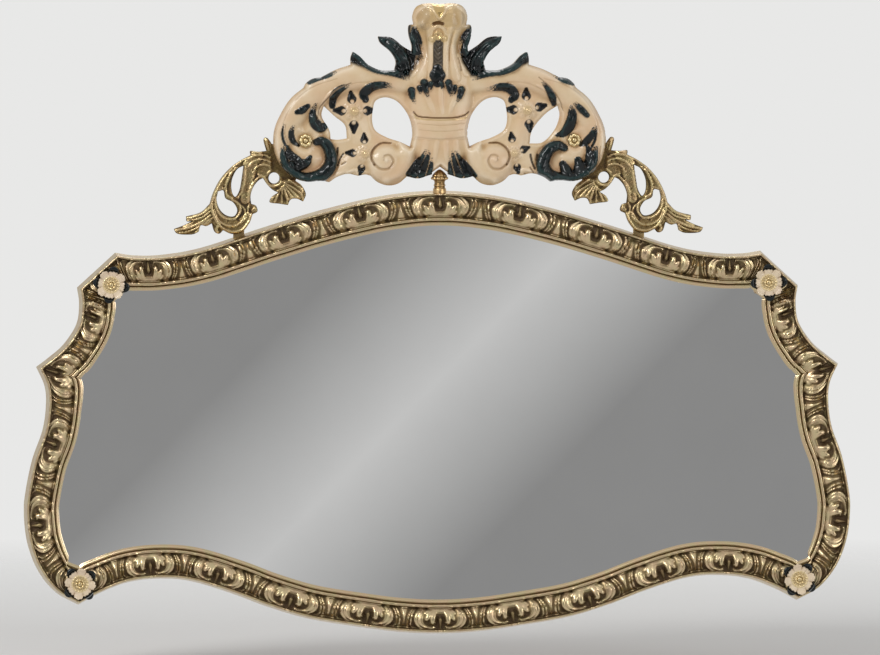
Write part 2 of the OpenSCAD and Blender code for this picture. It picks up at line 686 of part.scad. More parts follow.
// Gilt rosette bolts that hold the crest to the brackets
crest_bolt_p = [crest_bolt_spacing / 2, crest_z + crest_bolt_h];
rosette_d = 21;
rosette_h = 6;
rosette_seat = 1;
rosette_f = crest_f + crest_t + rosette_seat + washer_t;
crest_nut_f = bracket_f - nut_t - face_gap;
module crest_bolts() color(gilt_colour) both_sides() {
    placed(crest_bolt_p, rosette_f) rotate_extrude() polygon([
        [0, 0], [rosette_d / 2, 0], [rosette_d / 2, 1.5], [8.5, 3.4], [7, 2.6], [5, rosette_h - 1.5],
        [3, rosette_h], [0, rosette_h]
    ]);
    placed(crest_bolt_p, crest_nut_f - bolt_end)
        cylinder(d = bolt_d, h = rosette_f - crest_nut_f + bolt_end + over);
}
module crest_washers() color(leather_colour) both_sides() {
    placed(crest_bolt_p, rosette_f - washer_t + face_gap / 4) washer(rosette_d - 4);
    placed(crest_bolt_p, crest_f - washer_t + face_gap / 4) washer(rosette_d - 4);
}
module crest_nuts() color(steel_colour) both_sides() placed(crest_bolt_p, crest_nut_f) nut(bolt_d);

// Turned brass stem between the rail and the crest, with a stud below and a pin above
stud_d = 4;
stem_r = 9.5;
pin_d = 3;
stem_tip = notch_h - 4;
pin_top = notch_h + 6;
wall_slope = atan(rim_w / (moulding_d - 4));
stud_l = 16;
module crest_stem() color(brass_colour) {
    difference() {
        translate([0, -stem_f, crest_z]) rotate_extrude() polygon([
            [0, -crest_lift - 6], [stem_r, -crest_lift - 6], [stem_r, 0], [stem_r - 1.5, 1],
            [stem_r - 1.5, 3], [6, 5], [6, 7], [stem_r - 1, 10], [stem_r - 1, 14], [7, 16],
            [stem_r, 17], [stem_r, 20], [1.5, stem_tip], [0, stem_tip]
        ]);
        translate([0, 0, top_z + face_gap]) rotate([wall_slope, 0, 0])
            translate([-far, -far, -far]) cube([2 * far, 2 * far, far]);
    }
    translate([0, -stem_f, top_z - stud_l]) cylinder(d = stud_d, h = stud_l + 8);
    translate([0, -stem_f, crest_z + 10]) cylinder(d = pin_d, h = pin_top - 10);
}
stem_nut_w = 7;
stem_nut_z = top_z - rim_w - wall_step - nut_t - face_gap;
module stem_nut() color(steel_colour) translate([0, -stem_f, stem_nut_z]) difference() {
    cylinder(d = stem_nut_w / cos(30), h = nut_t, $fn = 6);
    translate([0, 0, -over]) cylinder(d = stud_d + thread_gap, h = far);
}

// Openwork brass bracket: outline of the right one, above the crest's datum
bracket_edge = [
    [[242, 64], [249, 73], [254, 70], [250, 54]],
    [[250, 54], [262, 53], [273, 54], [273, 48]],
    [[273, 48], [288, 40], [303, 29], [317, 13], [327, -6], [332, -22]],
    [[332, -22], [345, -34], [366, -40]],
    [[366, -40], [365, -47], [358, -47]],
    [[358, -47], [370, -53], [384, -58]],
    [[384, -58], [378, -65], [358, -66], [348, -62]],
    [[348, -62], [345, -53], [337, -54], [329, -50]],
    [[329, -50], [325, -62], [318, -65], [313, -57]],
    [[313, -57], [300, -61], [286, -58], [276, -47], [270, -37]],
    [[270, -37], [263, -33], [265, -25], [272, -22]],
    [[272, -22], [273, -10], [269, 2], [262, 11], [255, 15]],
    [[255, 15], [249, 6], [241, -2], [233, -6]],
    [[233, -6], [242, -12], [245, -20], [232, -22], [219, -24]],
    [[219, -24], [215, -16], [206, -15], [197, -19]],
    [[197, -19], [193, -8], [199, 4], [208, 11]],
    [[208, 11], [199, 34], [187, 58], [185, 72], [194, 80], [208, 77], [226, 66], [242, 64]]
];
bracket_holes = [
    [[[283, 33], [293, 27], [300, 12], [300, -4], [295, -12], [289, -3], [286, 12], [283, 33]]],
    [[[320, -4], [312, -3], [309, -14], [298, -20], [292, -31], [297, -40], [309, -38],
        [318, -29], [322, -16], [320, -4]]]
];
bracket_eye = [239, 15];
bracket_eye_r = 8;
bracket_lines = [
    [[276, 44, 2, 1], [296, 33, 4, 3], [316, 10, 5, 4], [326, -16, 5, 4], [322, -36, 5, 4],
        [308, -50, 6, 4], [288, -50, 5, 3], [278, -38, 3, 2]],
    [[262, 46, 4, 2], [272, 30, 8, 4], [277, 6, 7, 4], [280, -18, 5, 3]],
    [[224, 4, 5, 2], [216, -8, 6, 4], [212, -18, 3, 2]],
    [[334, -36, 4, 2], [350, -52, 5, 3], [372, -61, 2.5, 2]]
];
module bracket() color(brass_colour) difference() {
    union() {
        translate([0, 0, crest_z]) prism(joined(bracket_edge, 2), bracket_f, bracket_t);
        for (line = bracket_lines) ridge(line, bracket_f + bracket_t);
        translate([foot_x - foot_w / 2, -land_f, foot_tip_z])
            cube([foot_w, foot_t, crest_z - 56 - foot_tip_z]);
    }
    for (hole = bracket_holes) hole_through(hole);
    through_holes([bracket_eye + [0, crest_z]], 2 * bracket_eye_r);
    through_holes([crest_bolt_p], bolt_hole);
    through_holes(bracket_screw_spots, screw_hole_d);
}
module bracket_right() bracket();
module bracket_left() mirror([1, 0, 0]) bracket();

// Hanger: a small plate with a rolled eye, and a wire ring that swings in it
eye_l = 8;
eye_wall = 1.4;
eye_gap = 0.3;
ring_half = ring_w / 2 + wire_d / 2;
module hanger_plate() color(steel_colour) difference() {
    union() {
        translate([hanger_p.x - hanger_l / 2, -land_f, -eye_wall - wire_d / 2])
            cube([hanger_l, hanger_t, hanger_w]);
        translate([hanger_p.x - eye_l / 2, -pivot_f, 0]) rotate([0, 90, 0])
            cylinder(r = wire_d / 2 + eye_gap + eye_wall, h = eye_l);
    }
    translate([hanger_p.x - eye_l, -pivot_f, 0]) rotate([0, 90, 0])
        cylinder(r = wire_d / 2 + eye_gap, h = 2 * eye_l);
    through_holes(hanger_screw_spots, screw_hole_d);
}
module hanger_plate_right() hanger_plate();
module hanger_plate_left() mirror([1, 0, 0]) hanger_plate();
module hanger_ring() color(steel_colour) translate([hanger_p.x, -pivot_f, 0]) {
    rotate([0, 90, 0]) cylinder(d = wire_d, h = 2 * ring_half, center = true);
    for (s = [-1, 1]) translate([s * ring_half, 0, 0]) {
        sphere(d = wire_d);
        translate([0, 0, -ring_leg]) cylinder(d = wire_d, h = ring_leg);
    }
    translate([0, 0, -ring_leg]) rotate([90, 0, 0]) rotate_extrude(angle = -180)
        translate([ring_half, 0]) circle(d = wire_d);
}
module hanger_ring_right() hanger_ring();
module hanger_ring_left() mirror([1, 0, 0]) hanger_ring();

frame_top_rail();
frame_bottom_rail();
frame_left_upper();
frame_left_lower();
frame_right_upper();
frame_right_lower();
corner_plate_top_left();
corner_plate_top_right();
corner_plate_bottom_left();
corner_plate_bottom_right();
side_plate_left();
side_plate_right();
plate_screws();
mirror_glass();
backing_board();
turn_button_1();
turn_button_2();
turn_button_3();
turn_button_4();
turn_button_5();
turn_button_6();
turn_button_7();
turn_button_8();
button_screws();
flower_top_left();
flower_top_right();
flower_bottom_left();
flower_bottom_right();
flower_bolts();
flower_nuts();
flower_washers();
crest();
crest_bolts();
crest_washers();
crest_nuts();
crest_stem();
stem_nut();
bracket_left();
bracket_right();
bracket_screws();
hanger_plate_left();
hanger_plate_right();
hanger_ring_left();
hanger_ring_right();
hanger_screws();
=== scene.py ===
# %% [markdown]
# # A baroque wall mirror
# The real mirror is a cast brass frame with carved moulding, porcelain flowers on its corners and
# a glazed porcelain crest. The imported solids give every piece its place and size. This lesson
# dresses them: carved pieces are modelled again as fine reliefs, and every piece gets a material.

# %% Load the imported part
import math

import bmesh
import bpy
import numpy as np
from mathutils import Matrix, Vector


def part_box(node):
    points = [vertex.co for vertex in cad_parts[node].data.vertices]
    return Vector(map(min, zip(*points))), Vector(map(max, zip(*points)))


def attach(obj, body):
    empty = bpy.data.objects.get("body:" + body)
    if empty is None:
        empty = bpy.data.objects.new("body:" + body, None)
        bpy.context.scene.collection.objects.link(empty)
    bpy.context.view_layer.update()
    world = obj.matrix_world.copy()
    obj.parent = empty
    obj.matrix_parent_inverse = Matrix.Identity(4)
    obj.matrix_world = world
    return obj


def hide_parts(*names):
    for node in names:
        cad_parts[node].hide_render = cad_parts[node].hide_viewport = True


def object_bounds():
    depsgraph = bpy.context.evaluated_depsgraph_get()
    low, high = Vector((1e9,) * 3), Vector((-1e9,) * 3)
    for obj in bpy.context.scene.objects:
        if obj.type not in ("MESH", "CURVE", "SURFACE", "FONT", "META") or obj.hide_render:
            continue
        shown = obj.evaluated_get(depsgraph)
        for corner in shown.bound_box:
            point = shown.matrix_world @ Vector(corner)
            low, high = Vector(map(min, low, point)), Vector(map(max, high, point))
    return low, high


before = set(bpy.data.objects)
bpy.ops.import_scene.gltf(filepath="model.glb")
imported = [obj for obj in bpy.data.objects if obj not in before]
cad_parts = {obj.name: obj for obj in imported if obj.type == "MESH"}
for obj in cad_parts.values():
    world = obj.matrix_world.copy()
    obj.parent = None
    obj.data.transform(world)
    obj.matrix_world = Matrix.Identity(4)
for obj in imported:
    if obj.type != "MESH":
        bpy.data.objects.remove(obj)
cad_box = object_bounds()
MM = 0.001
print("nodes:", len(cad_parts), "box:", cad_box)

# %% [markdown]
# ## Working with reliefs
# A carved casting is a height field: a fine grid whose points are pushed forward, as a carver
# sees the work from the front. The carving itself is a list of strokes. A stroke is a smooth line
# with a half width and a height along it, like one cut of a gouge or one rolled rib of clay. All
# lengths in these lists are millimetres, so they can be checked with a ruler.


# %% Smooth lines and strokes
def smooth_line(knots, per=8):
    """Points on a smooth curve through the knots, with whatever else the knots carry."""
    k = np.asarray(knots, float)
    if len(k) == 1:
        return k
    k = np.vstack([2 * k[0] - k[1], k, 2 * k[-1] - k[-2]])
    t = np.linspace(0, 1, per, endpoint=False)[:, None]
    parts = []
    for a, b, c, d in zip(k[:-3], k[1:-2], k[2:-1], k[3:]):
        parts.append(0.5 * (2 * b + (c - a) * t + (2 * a - 5 * b + 4 * c - d) * t**2
                            + (3 * b - a - 3 * c + d) * t**3))
    return np.vstack(parts + [k[-2:-1]])


def nearest_on(points, line):
    """For each point: distance to the line, side, and how far along the line it is, 0 to 1."""
    best = np.full(len(points), 1e9)
    side = np.zeros(len(points))
    along = np.zeros(len(points))
    steps = max(len(line) - 1, 1)
    for i in range(steps):
        a = line[i, :2]
        b = line[min(i + 1, len(line) - 1), :2]
        d = b - a
        rel = points - a
        t = np.clip(rel @ d / max(d @ d, 1e-9), 0, 1)
        off = rel - t[:, None] * d
        r = np.hypot(off[:, 0], off[:, 1])
        near = r < best
        best[near] = r[near]
        side[near] = np.sign(d[0] * rel[near, 1] - d[1] * rel[near, 0])
        along[near] = (i + t[near]) / steps
    return best, side, along


def step(a, b, x):
    """0 below a, 1 above b and smooth between."""
    t = np.clip((x - a) / (b - a), 0, 1)
    return t * t * (3 - 2 * t)


# Cross-sections of a stroke, from its middle at 0 to its edge at 1
PROFILES = {
    "round": lambda q, n, t: np.sqrt(1 - q * q),
    "soft": lambda q, n, t: (1 - q * q) ** 2,
    "flat": lambda q, n, t: step(1, 0.7, q),
    "leaf": lambda q, n, t: np.sqrt(1 - q * q) * (0.94 + 0.06 * np.cos(3.4 * math.pi * q)) * (
        0.88 + 0.12 * np.cos(2 * math.pi * n * t)),
    "dish": lambda q, n, t: step(1, 0.82, q) * (0.45 + 0.55 * np.minimum(q / 0.8, 1) ** 2),
    "ribs": lambda q, n, t: np.sqrt(1 - q * q) * (0.78 + 0.22 * np.cos(math.pi * n * q)),
    "scales": lambda q, n, t: np.sqrt(1 - q * q) * (
        0.8 + 0.2 * np.cos(2 * math.pi * (n * t - 1.3 * q))),
}


def carve(points, height, ground, strokes, paint=None):
    """Lays strokes on a height field. A stroke is (knots, kind, mode, extra): knots are
    [across, up, half width, height]; mode is over, add or cut; extra may hold a rib count and
    a paint channel."""
    for knots, kind, mode, extra in strokes:
        line = smooth_line(knots, 8 if len(knots) > 1 else 1)
        reach = line[:, 2].max()
        low = line[:, :2].min(0) - reach
        high = line[:, :2].max(0) + reach
        inside = np.flatnonzero(np.all((points > low) & (points < high), axis=1))
        if not len(inside):
            continue
        d, side, along = nearest_on(points[inside], line)
        at = np.linspace(0, 1, len(line))
        width = np.maximum(np.interp(along, at, line[:, 2]), 0.05)
        rise = np.interp(along, at, line[:, 3])
        q = np.clip(d / width, 0, 1)
        shape = rise * PROFILES[kind](q, extra.get("ribs", 3), along)
        streak = 1.0
        if extra.get("fade") is not None:
            # the brush leaves streaks where a leaf's paint runs out, over about 9 mm
            long = np.hypot(*np.diff(line[:, :2], axis=0).T).sum()
            left = np.abs(extra["fade"] - along) * long / min(9.0, 0.45 * long)
            hair = 0.5 + 0.5 * np.sin(side * q * 10 + 2.1 * np.sin(side * q * 23 + long))
            streak = step(0.85 * hair - 0.15, 0.85 * hair + 0.15, left)
            shape = shape * (0.1 + 0.9 * streak)
        hit = q < 1
        i = inside[hit]
        if mode == "over":
            height[i] = np.maximum(height[i], ground[i] + shape[hit])
        elif mode == "add":
            height[i] += shape[hit]
        else:
            height[i] -= shape[hit]
        if paint is not None and "paint" in extra:
            cover = step(1.0, 1.0 - 0.9 / max(reach, 1), q) * streak
            cover = cover * extra.get("strength", 1.0)
            for channel in paint:
                if channel == extra["paint"]:
                    paint[channel][inside] = np.maximum(paint[channel][inside], cover)
                else:
                    paint[channel][inside] *= 1 - cover
    return height


def blurred(grid, radius, rounds=2):
    """A grid softened over a radius in cells, along both of its directions."""
    out = grid.astype(float)
    for _ in range(rounds):
        for axis in (0, 1):
            pad = [(0, 0), (0, 0)]
            pad[axis] = (radius + 1, radius)
            total = np.cumsum(np.pad(out, pad, mode="edge"), axis=axis)
            ahead = np.take(total, range(2 * radius + 1, total.shape[axis]), axis=axis)
            behind = np.take(total, range(0, total.shape[axis] - 2 * radius - 1), axis=axis)
            out = (ahead - behind) / (2 * radius + 1)
    return out


print("stroke profiles:", ", ".join(PROFILES))


# %% [markdown]
# ## Turning a height field into a closed casting
# A plate such as the crest starts as a flat grid. Faces outside its outline are deleted, its rim
# is moved onto the outline, the rim is extruded back to the rear plane, and the rear is filled.
# This is how a pierced relief is modelled by hand too, and it keeps one clean surface in front.


# %% Finished pieces
def finish_piece(name, bm, node_names, body, slot, material, crease=70):
    """Makes an object of a bmesh, shades it smooth and ties it to the frame."""
    # A carved edge may bulge by a tenth of a millimetre, but not past the box of the solids
    for v in bm.verts:
        v.co = [min(max(c, low), high) for c, low, high in zip(v.co, *cad_box)]
    bmesh.ops.recalc_face_normals(bm, faces=bm.faces)
    for face in bm.faces:
        face.smooth = True
    limit = math.radians(crease)
    for edge in bm.edges:
        if len(edge.link_faces) == 2 and edge.calc_face_angle(0) > limit:
            edge.smooth = False
    mesh = bpy.data.meshes.new(name)
    bm.to_mesh(mesh)
    bm.free()
    piece = bpy.data.objects.new(name, mesh)
    bpy.context.scene.collection.objects.link(piece)
    mesh.materials.append(material)
    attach(piece, body)
    if node_names:
        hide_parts(*node_names)
    print(name, len(mesh.polygons), "faces")
    return piece


def within(points, loop):
    """Which points are inside a closed outline."""
    inside = np.zeros(len(points), bool)
    x, z = points[:, 0], points[:, 1]
    for (x0, z0), (x1, z1) in zip(loop, np.roll(loop, -1, 0)):
        if z0 == z1:
            continue
        crosses = (z0 > z) != (z1 > z)
        inside ^= crosses & (x < x0 + (z - z0) * (x1 - x0) / (z1 - z0))
    return inside


def closest_on_loops(points, loops):
    """Distance from each point to the nearest outline, and the place on it."""
    best = np.full(len(points), 1e9)
    place = np.zeros_like(points)
    for loop in loops:
        for a, b in zip(loop, np.roll(loop, -1, 0)):
            d = b - a
            t = np.clip((points - a) @ d / max(d @ d, 1e-9), 0, 1)
            foot = a + t[:, None] * d
            r = np.hypot(*(points - foot).T)
            near = r < best
            best[near] = r[near]
            place[near] = foot[near]
    return best, place


def relief_plate(name, outline, holes, cell, shape, back_f, origin, **ties):
    """A pierced relief plate. shape(points, rim) gives heights in front of the wall and the
    attributes of every point, where rim is the distance to the nearest edge."""
    loops = [outline] + holes
    low, high = outline.min(0) - cell, outline.max(0) + cell
    nx, nz = np.ceil((high - low) / cell).astype(int)
    gx, gz = np.meshgrid(low[0] + cell * np.arange(nx + 1), low[1] + cell * np.arange(nz + 1))
    flat = np.column_stack([gx.ravel(), gz.ravel()])
    solid = within(flat, outline)
    for hole in holes:
        solid &= ~within(flat, hole)
    rim, _ = closest_on_loops(flat, loops)
    rim[~solid] *= -1
    height, values = shape(flat, np.maximum(rim, 0), gx.shape)

    bm = bmesh.new()
    bmesh.ops.create_grid(bm, x_segments=int(nx), y_segments=int(nz), size=0.5)
    bm.verts.ensure_lookup_table()
    layers = {key: bm.verts.layers.float.new(key) for key in values}
    # create_grid's points run along x first, so they match the arrays
    for v, p, h in zip(bm.verts, flat, height):
        v.co = (p[0], -h, p[1])
    for key, layer in layers.items():
        for v, value in zip(bm.verts, values[key]):
            v[layer] = float(value)
    keep = rim > -0.25 * cell
    outside = [f for f in bm.faces if not all(keep[v.index] for v in f.verts)]
    bmesh.ops.delete(bm, geom=outside, context="FACES")
    bm.verts.ensure_lookup_table()
    edge_verts = {v for e in bm.edges if len(e.link_faces) == 1 for v in e.verts}
    spots = np.array([(v.co.x, v.co.z) for v in edge_verts])
    _, snapped = closest_on_loops(spots, loops)
    for v, p in zip(edge_verts, snapped):
        v.co = (p[0], v.co.y, p[1])
    # even out the cells beside the rim
    for _ in range(2):
        ring = [v for v in bm.verts if v not in edge_verts
                and any(e.other_vert(v) in edge_verts for e in v.link_edges)]
        bmesh.ops.smooth_vert(bm, verts=ring, factor=0.5, use_axis_x=True, use_axis_z=True)
    border = [e for e in bm.edges if len(e.link_faces) == 1]
    grown = bmesh.ops.extrude_edge_only(bm, edges=border)["geom"]
    # The rear is plain: neither painted nor rubbed
    for v in grown:
        if isinstance(v, bmesh.types.BMVert):
            v.co.y = -back_f
            for key, layer in layers.items():
                v[layer] = 0.2 if key == "relief" else 0.0
    rear = [e for e in grown if isinstance(e, bmesh.types.BMEdge)]
    bmesh.ops.triangle_fill(bm, use_beauty=True, edges=rear)
    ox, oz = origin
    for v in bm.verts:
        v.co = ((v.co.x + ox) * MM, v.co.y * MM, (v.co.z + oz) * MM)
    return finish_piece(name, bm, **ties)


# %% [markdown]
# ## Materials
# One helper turns hex colours to linear values and one adds a node. Aged brass is the main
# material: it was cast, darkened with patina and rubbed, so it is bright on the high parts and
# nearly black-brown in the recesses. Each relief stores how far every point stands above its
# surroundings in an attribute called relief, and the material reads that.


# %% Colour and node helpers
def linear(code):
    """An sRGB hex colour as linear red, green and blue, with alpha."""
    parts = [int(code[i:i + 2], 16) / 255 for i in (1, 3, 5)]
    return (*[p / 12.92 if p <= 0.04045 else ((p + 0.055) / 1.055) ** 2.4 for p in parts], 1.0)


def add(tree, kind, sockets=None, stops=None, **settings):
    """Adds a node, sets it up, and links or fills its sockets."""
    node = tree.nodes.new(kind)
    for key, value in settings.items():
        setattr(node, key, value)
    for key, value in (sockets or {}).items():
        socket = node.inputs[key]
        if isinstance(value, bpy.types.NodeSocket):
            tree.links.new(value, socket)
        else:
            socket.default_value = value
    if stops:
        ramp = node.color_ramp
        while len(ramp.elements) < len(stops):
            ramp.elements.new(0.5)
        for element, (place, colour) in zip(ramp.elements, stops):
            element.position = place
            element.color = colour if len(colour) == 4 else (*colour, 1.0)
    return node


def new_material(name):
    material = bpy.data.materials.new(name)
    material.use_nodes = True
    tree = material.node_tree
    tree.nodes.clear()
    surface = add(tree, "ShaderNodeBsdfPrincipled")
    add(tree, "ShaderNodeOutputMaterial", {"Surface": surface.outputs[0]})
    return material, tree, surface


def wire(tree, surface, **outputs):
    """Links outputs to the surface; an input's spaces are written as underscores."""
    for key, output in outputs.items():
        tree.links.new(output, surface.inputs[key.replace("_", " ")])


def per_mm(size_mm):
    """The scale of a texture in metres, for features of a size in millimetres."""
    return 1000.0 / size_mm


print("white is", linear("#FFFFFF"))


# %% Aged cast brass
def aged_brass(name, bright, mid, dark, grain_mm=0.9, polish=0.3):
    """Cast brass: patina in the recesses, bare bright metal on the high parts."""
    material, tree, surface = new_material(name)
    here = add(tree, "ShaderNodeTexCoord").outputs["Object"]
    relief = add(tree, "ShaderNodeAttribute", attribute_name="relief").outputs["Fac"]
    # Uneven rubbing in patches of about 12 mm, and grime in specks of about 2 mm
    patches = add(tree, "ShaderNodeTexNoise", {"Vector": here, "Scale": per_mm(12), "Detail": 4.0})
    specks = add(tree, "ShaderNodeTexNoise", {"Vector": here, "Scale": per_mm(2.2), "Detail": 6.0,
                                              "Roughness": 0.65})
    rubbed = add(tree, "ShaderNodeMath", {0: patches.outputs["Fac"], 1: 0.7, 2: relief},
                 operation="MULTIPLY_ADD")
    worn = add(tree, "ShaderNodeMath", {0: specks.outputs["Fac"], 1: 0.5, 2: rubbed.outputs[0]},
               operation="MULTIPLY_ADD")
    tone = add(tree, "ShaderNodeMapRange", {"Value": worn.outputs[0], "From Min": -0.9,
                                            "From Max": 1.9})
    colour = add(tree, "ShaderNodeValToRGB", {"Fac": tone.outputs[0]}, stops=[
        (0.08, linear(dark)), (0.4, linear(mid)), (0.78, linear(bright)), (1.0, linear(bright))])
    # Rubbed brass is pinker where the lacquer has gone and greener where it has stayed
    hue = add(tree, "ShaderNodeValToRGB", {"Fac": patches.outputs["Fac"]}, stops=[
        (0.35, linear("#FFF3EA")), (0.65, linear("#F6F8E6"))])
    tinted = add(tree, "ShaderNodeMix", {"Factor": 1.0, 6: colour.outputs[0],
                                         7: hue.outputs[0]},
                 data_type="RGBA", blend_type="MULTIPLY")
    rough = add(tree, "ShaderNodeMapRange", {"Value": tone.outputs[0], "From Min": 0.15,
                                             "From Max": 0.7, "To Min": 0.6, "To Max": polish})
    metal = add(tree, "ShaderNodeMapRange", {"Value": tone.outputs[0], "From Min": 0.05,
                                             "From Max": 0.35, "To Min": 0.4, "To Max": 1.0})
    grain = add(tree, "ShaderNodeTexNoise", {"Vector": here, "Scale": per_mm(grain_mm),
                                             "Detail": 5.0, "Roughness": 0.6})
    bump = add(tree, "ShaderNodeBump", {"Height": grain.outputs["Fac"], "Strength": 0.35,
                                        "Distance": 0.25 * MM})
    wire(tree, surface, Base_Color=tinted.outputs[2], Roughness=rough.outputs[0],
         Metallic=metal.outputs[0], Normal=bump.outputs[0])
    return material


frame_brass = aged_brass("cast_brass_patinated", "#C8B79B", "#8C7C60", "#4A381F")
bracket_brass = aged_brass("cast_brass_brackets", "#C3B08C", "#756344", "#38280F")
print("brass:", frame_brass.name, bracket_brass.name)


# %% [markdown]
# ## The frame's outline
# The moulding follows the same smooth runs as the solids: the arch, the straight corner, the
# waist, the bulge and the apron, each through a few knots. A run gives a place on the outer edge
# and a spoke, the direction in which the moulding's cross-section is laid out. At a mitre the
# spoke leans along the run, as the cross-section does in a real mitred corner.


# %% The five runs of the right half
half_w, frame_h = 600.0, 640.0
arch_w, arch_drop, shoulder_share = 468.0, 92.0, 0.957
foot_inset, foot_rise = 78.0, 45.0
side_in, side_drop = 18.0, 252.0
shoulder = np.array([arch_w, -arch_drop * shoulder_share])
elbow = shoulder + [55, -50]
side_point = np.array([half_w - side_in, -side_drop])
foot = np.array([half_w - foot_inset, foot_rise - frame_h])
arch = [[0, 0], [0.17, 0.076], [0.353, 0.283], [0.534, 0.554], [0.733, 0.88], [0.855, 0.99],
        [0.94, 1], [1, shoulder_share]]
waist = [[0, 0], [-0.05, 0.21], [0.02, 0.465], [0.34, 0.72], [0.73, 0.895], [1, 1]]
bulge = [[side_in, 0], [30, 0.08], [32, 0.16], [27, 0.265], [12, 0.39], [2, 0.53], [0, 0.62],
         [5, 0.74], [20, 0.854], [45, 0.945], [foot_inset, 1]]
apron = [[1, foot_rise], [0.939, 62], [0.862, 77], [0.776, 82], [0.688, 78], [0.575, 60],
         [0.479, 41], [0.364, 23], [0.23, 11], [0.115, 3], [0, 0]]
knot_runs = [
    np.array([[arch_w * x, -arch_drop * y] for x, y in arch]),
    np.array([shoulder, elbow]),
    np.array([elbow + (side_point - elbow) * p for p in waist]),
    np.array([[half_w - x, side_point[1] + (foot[1] - side_point[1]) * y] for x, y in bulge]),
    np.array([[foot[0] * x, y - frame_h] for x, y in apron]),
]
mirror_x = np.array([-1, 1])


def padded_run(k, first=None, last=None):
    first = 2 * k[0] - k[1] if first is None else first
    last = 2 * k[-1] - k[-2] if last is None else last
    return np.vstack([first, k, last])


runs = [padded_run(knot_runs[0], first=knot_runs[0][1] * mirror_x)]
runs += [padded_run(k) for k in knot_runs[1:4]]
runs += [padded_run(knot_runs[4], last=knot_runs[4][-2] * mirror_x)]
ARCH, CORNER, WAIST, BULGE, APRON = range(5)


def on_run(r, u):
    """Place and direction on a run, for many shares u of the way along it."""
    q = runs[r]
    m = len(q) - 3
    s = np.minimum(np.floor(u * m).astype(int), m - 1)
    t = (u * m - s)[:, None]
    a, b, c, d = q[s], q[s + 1], q[s + 2], q[s + 3]
    place = 0.5 * (2 * b + (c - a) * t + (2 * a - 5 * b + 4 * c - d) * t**2
                   + (3 * b - a - 3 * c + d) * t**3)
    way = c - a + 2 * (2 * a - 5 * b + 4 * c - d) * t + 3 * (3 * b - a - 3 * c + d) * t**2
    return place, way / np.hypot(way[:, 0], way[:, 1])[:, None]


shares = np.linspace(0, 1, 25)
lengths = [np.hypot(*np.diff(on_run(r, shares)[0], axis=0).T).sum() for r in range(5)]
leans = [0.0]
for r in range(4):
    a = on_run(r, np.array([1.0]))[1][0]
    b = on_run(r + 1, np.array([0.0]))[1][0]
    leans.append(math.tan(math.atan2(a[1] * b[0] - a[0] * b[1], a @ b) / 2))
leans.append(0.0)
mitre_l = 110.0
hanger_x, hanger_in = 402.0, 37.0


def spokes(r, u):
    place, way = on_run(r, u)
    reach = min(mitre_l, lengths[r])
    lean = (leans[r] * np.maximum(0, 1 - u * lengths[r] / reach)
            - leans[r + 1] * np.maximum(0, 1 - (1 - u) * lengths[r] / reach))
    return place, np.column_stack([way[:, 1], -way[:, 0]]) + way * lean[:, None]


low, high = 0.0, 1.0
for _ in range(40):
    middle = (low + high) / 2
    low, high = (middle, high) if on_run(ARCH, np.array([middle]))[0][0, 0] < hanger_x else (
        low, middle)
place, spoke = spokes(ARCH, np.array([low]))
top_z = -place[0, 1] - spoke[0, 1] * hanger_in
crest_z = top_z + 4
print("top edge", round(top_z, 3), "mm above the hanging line")


# %% [markdown]
# ## The moulding's carving
# The same motif repeats about every 116 mm: a drop hangs from the outer edge between two lobed
# leaves, C-shaped scrolls close it in, and a bundle of flutes fills the space to the next one. It
# is drawn once, for half a motif, and laid down mirrored and stretched between the motifs'
# centres, which were measured along the real frame. The cast repeats aren't perfect there, so the
# lookup wobbles by half a millimetre.

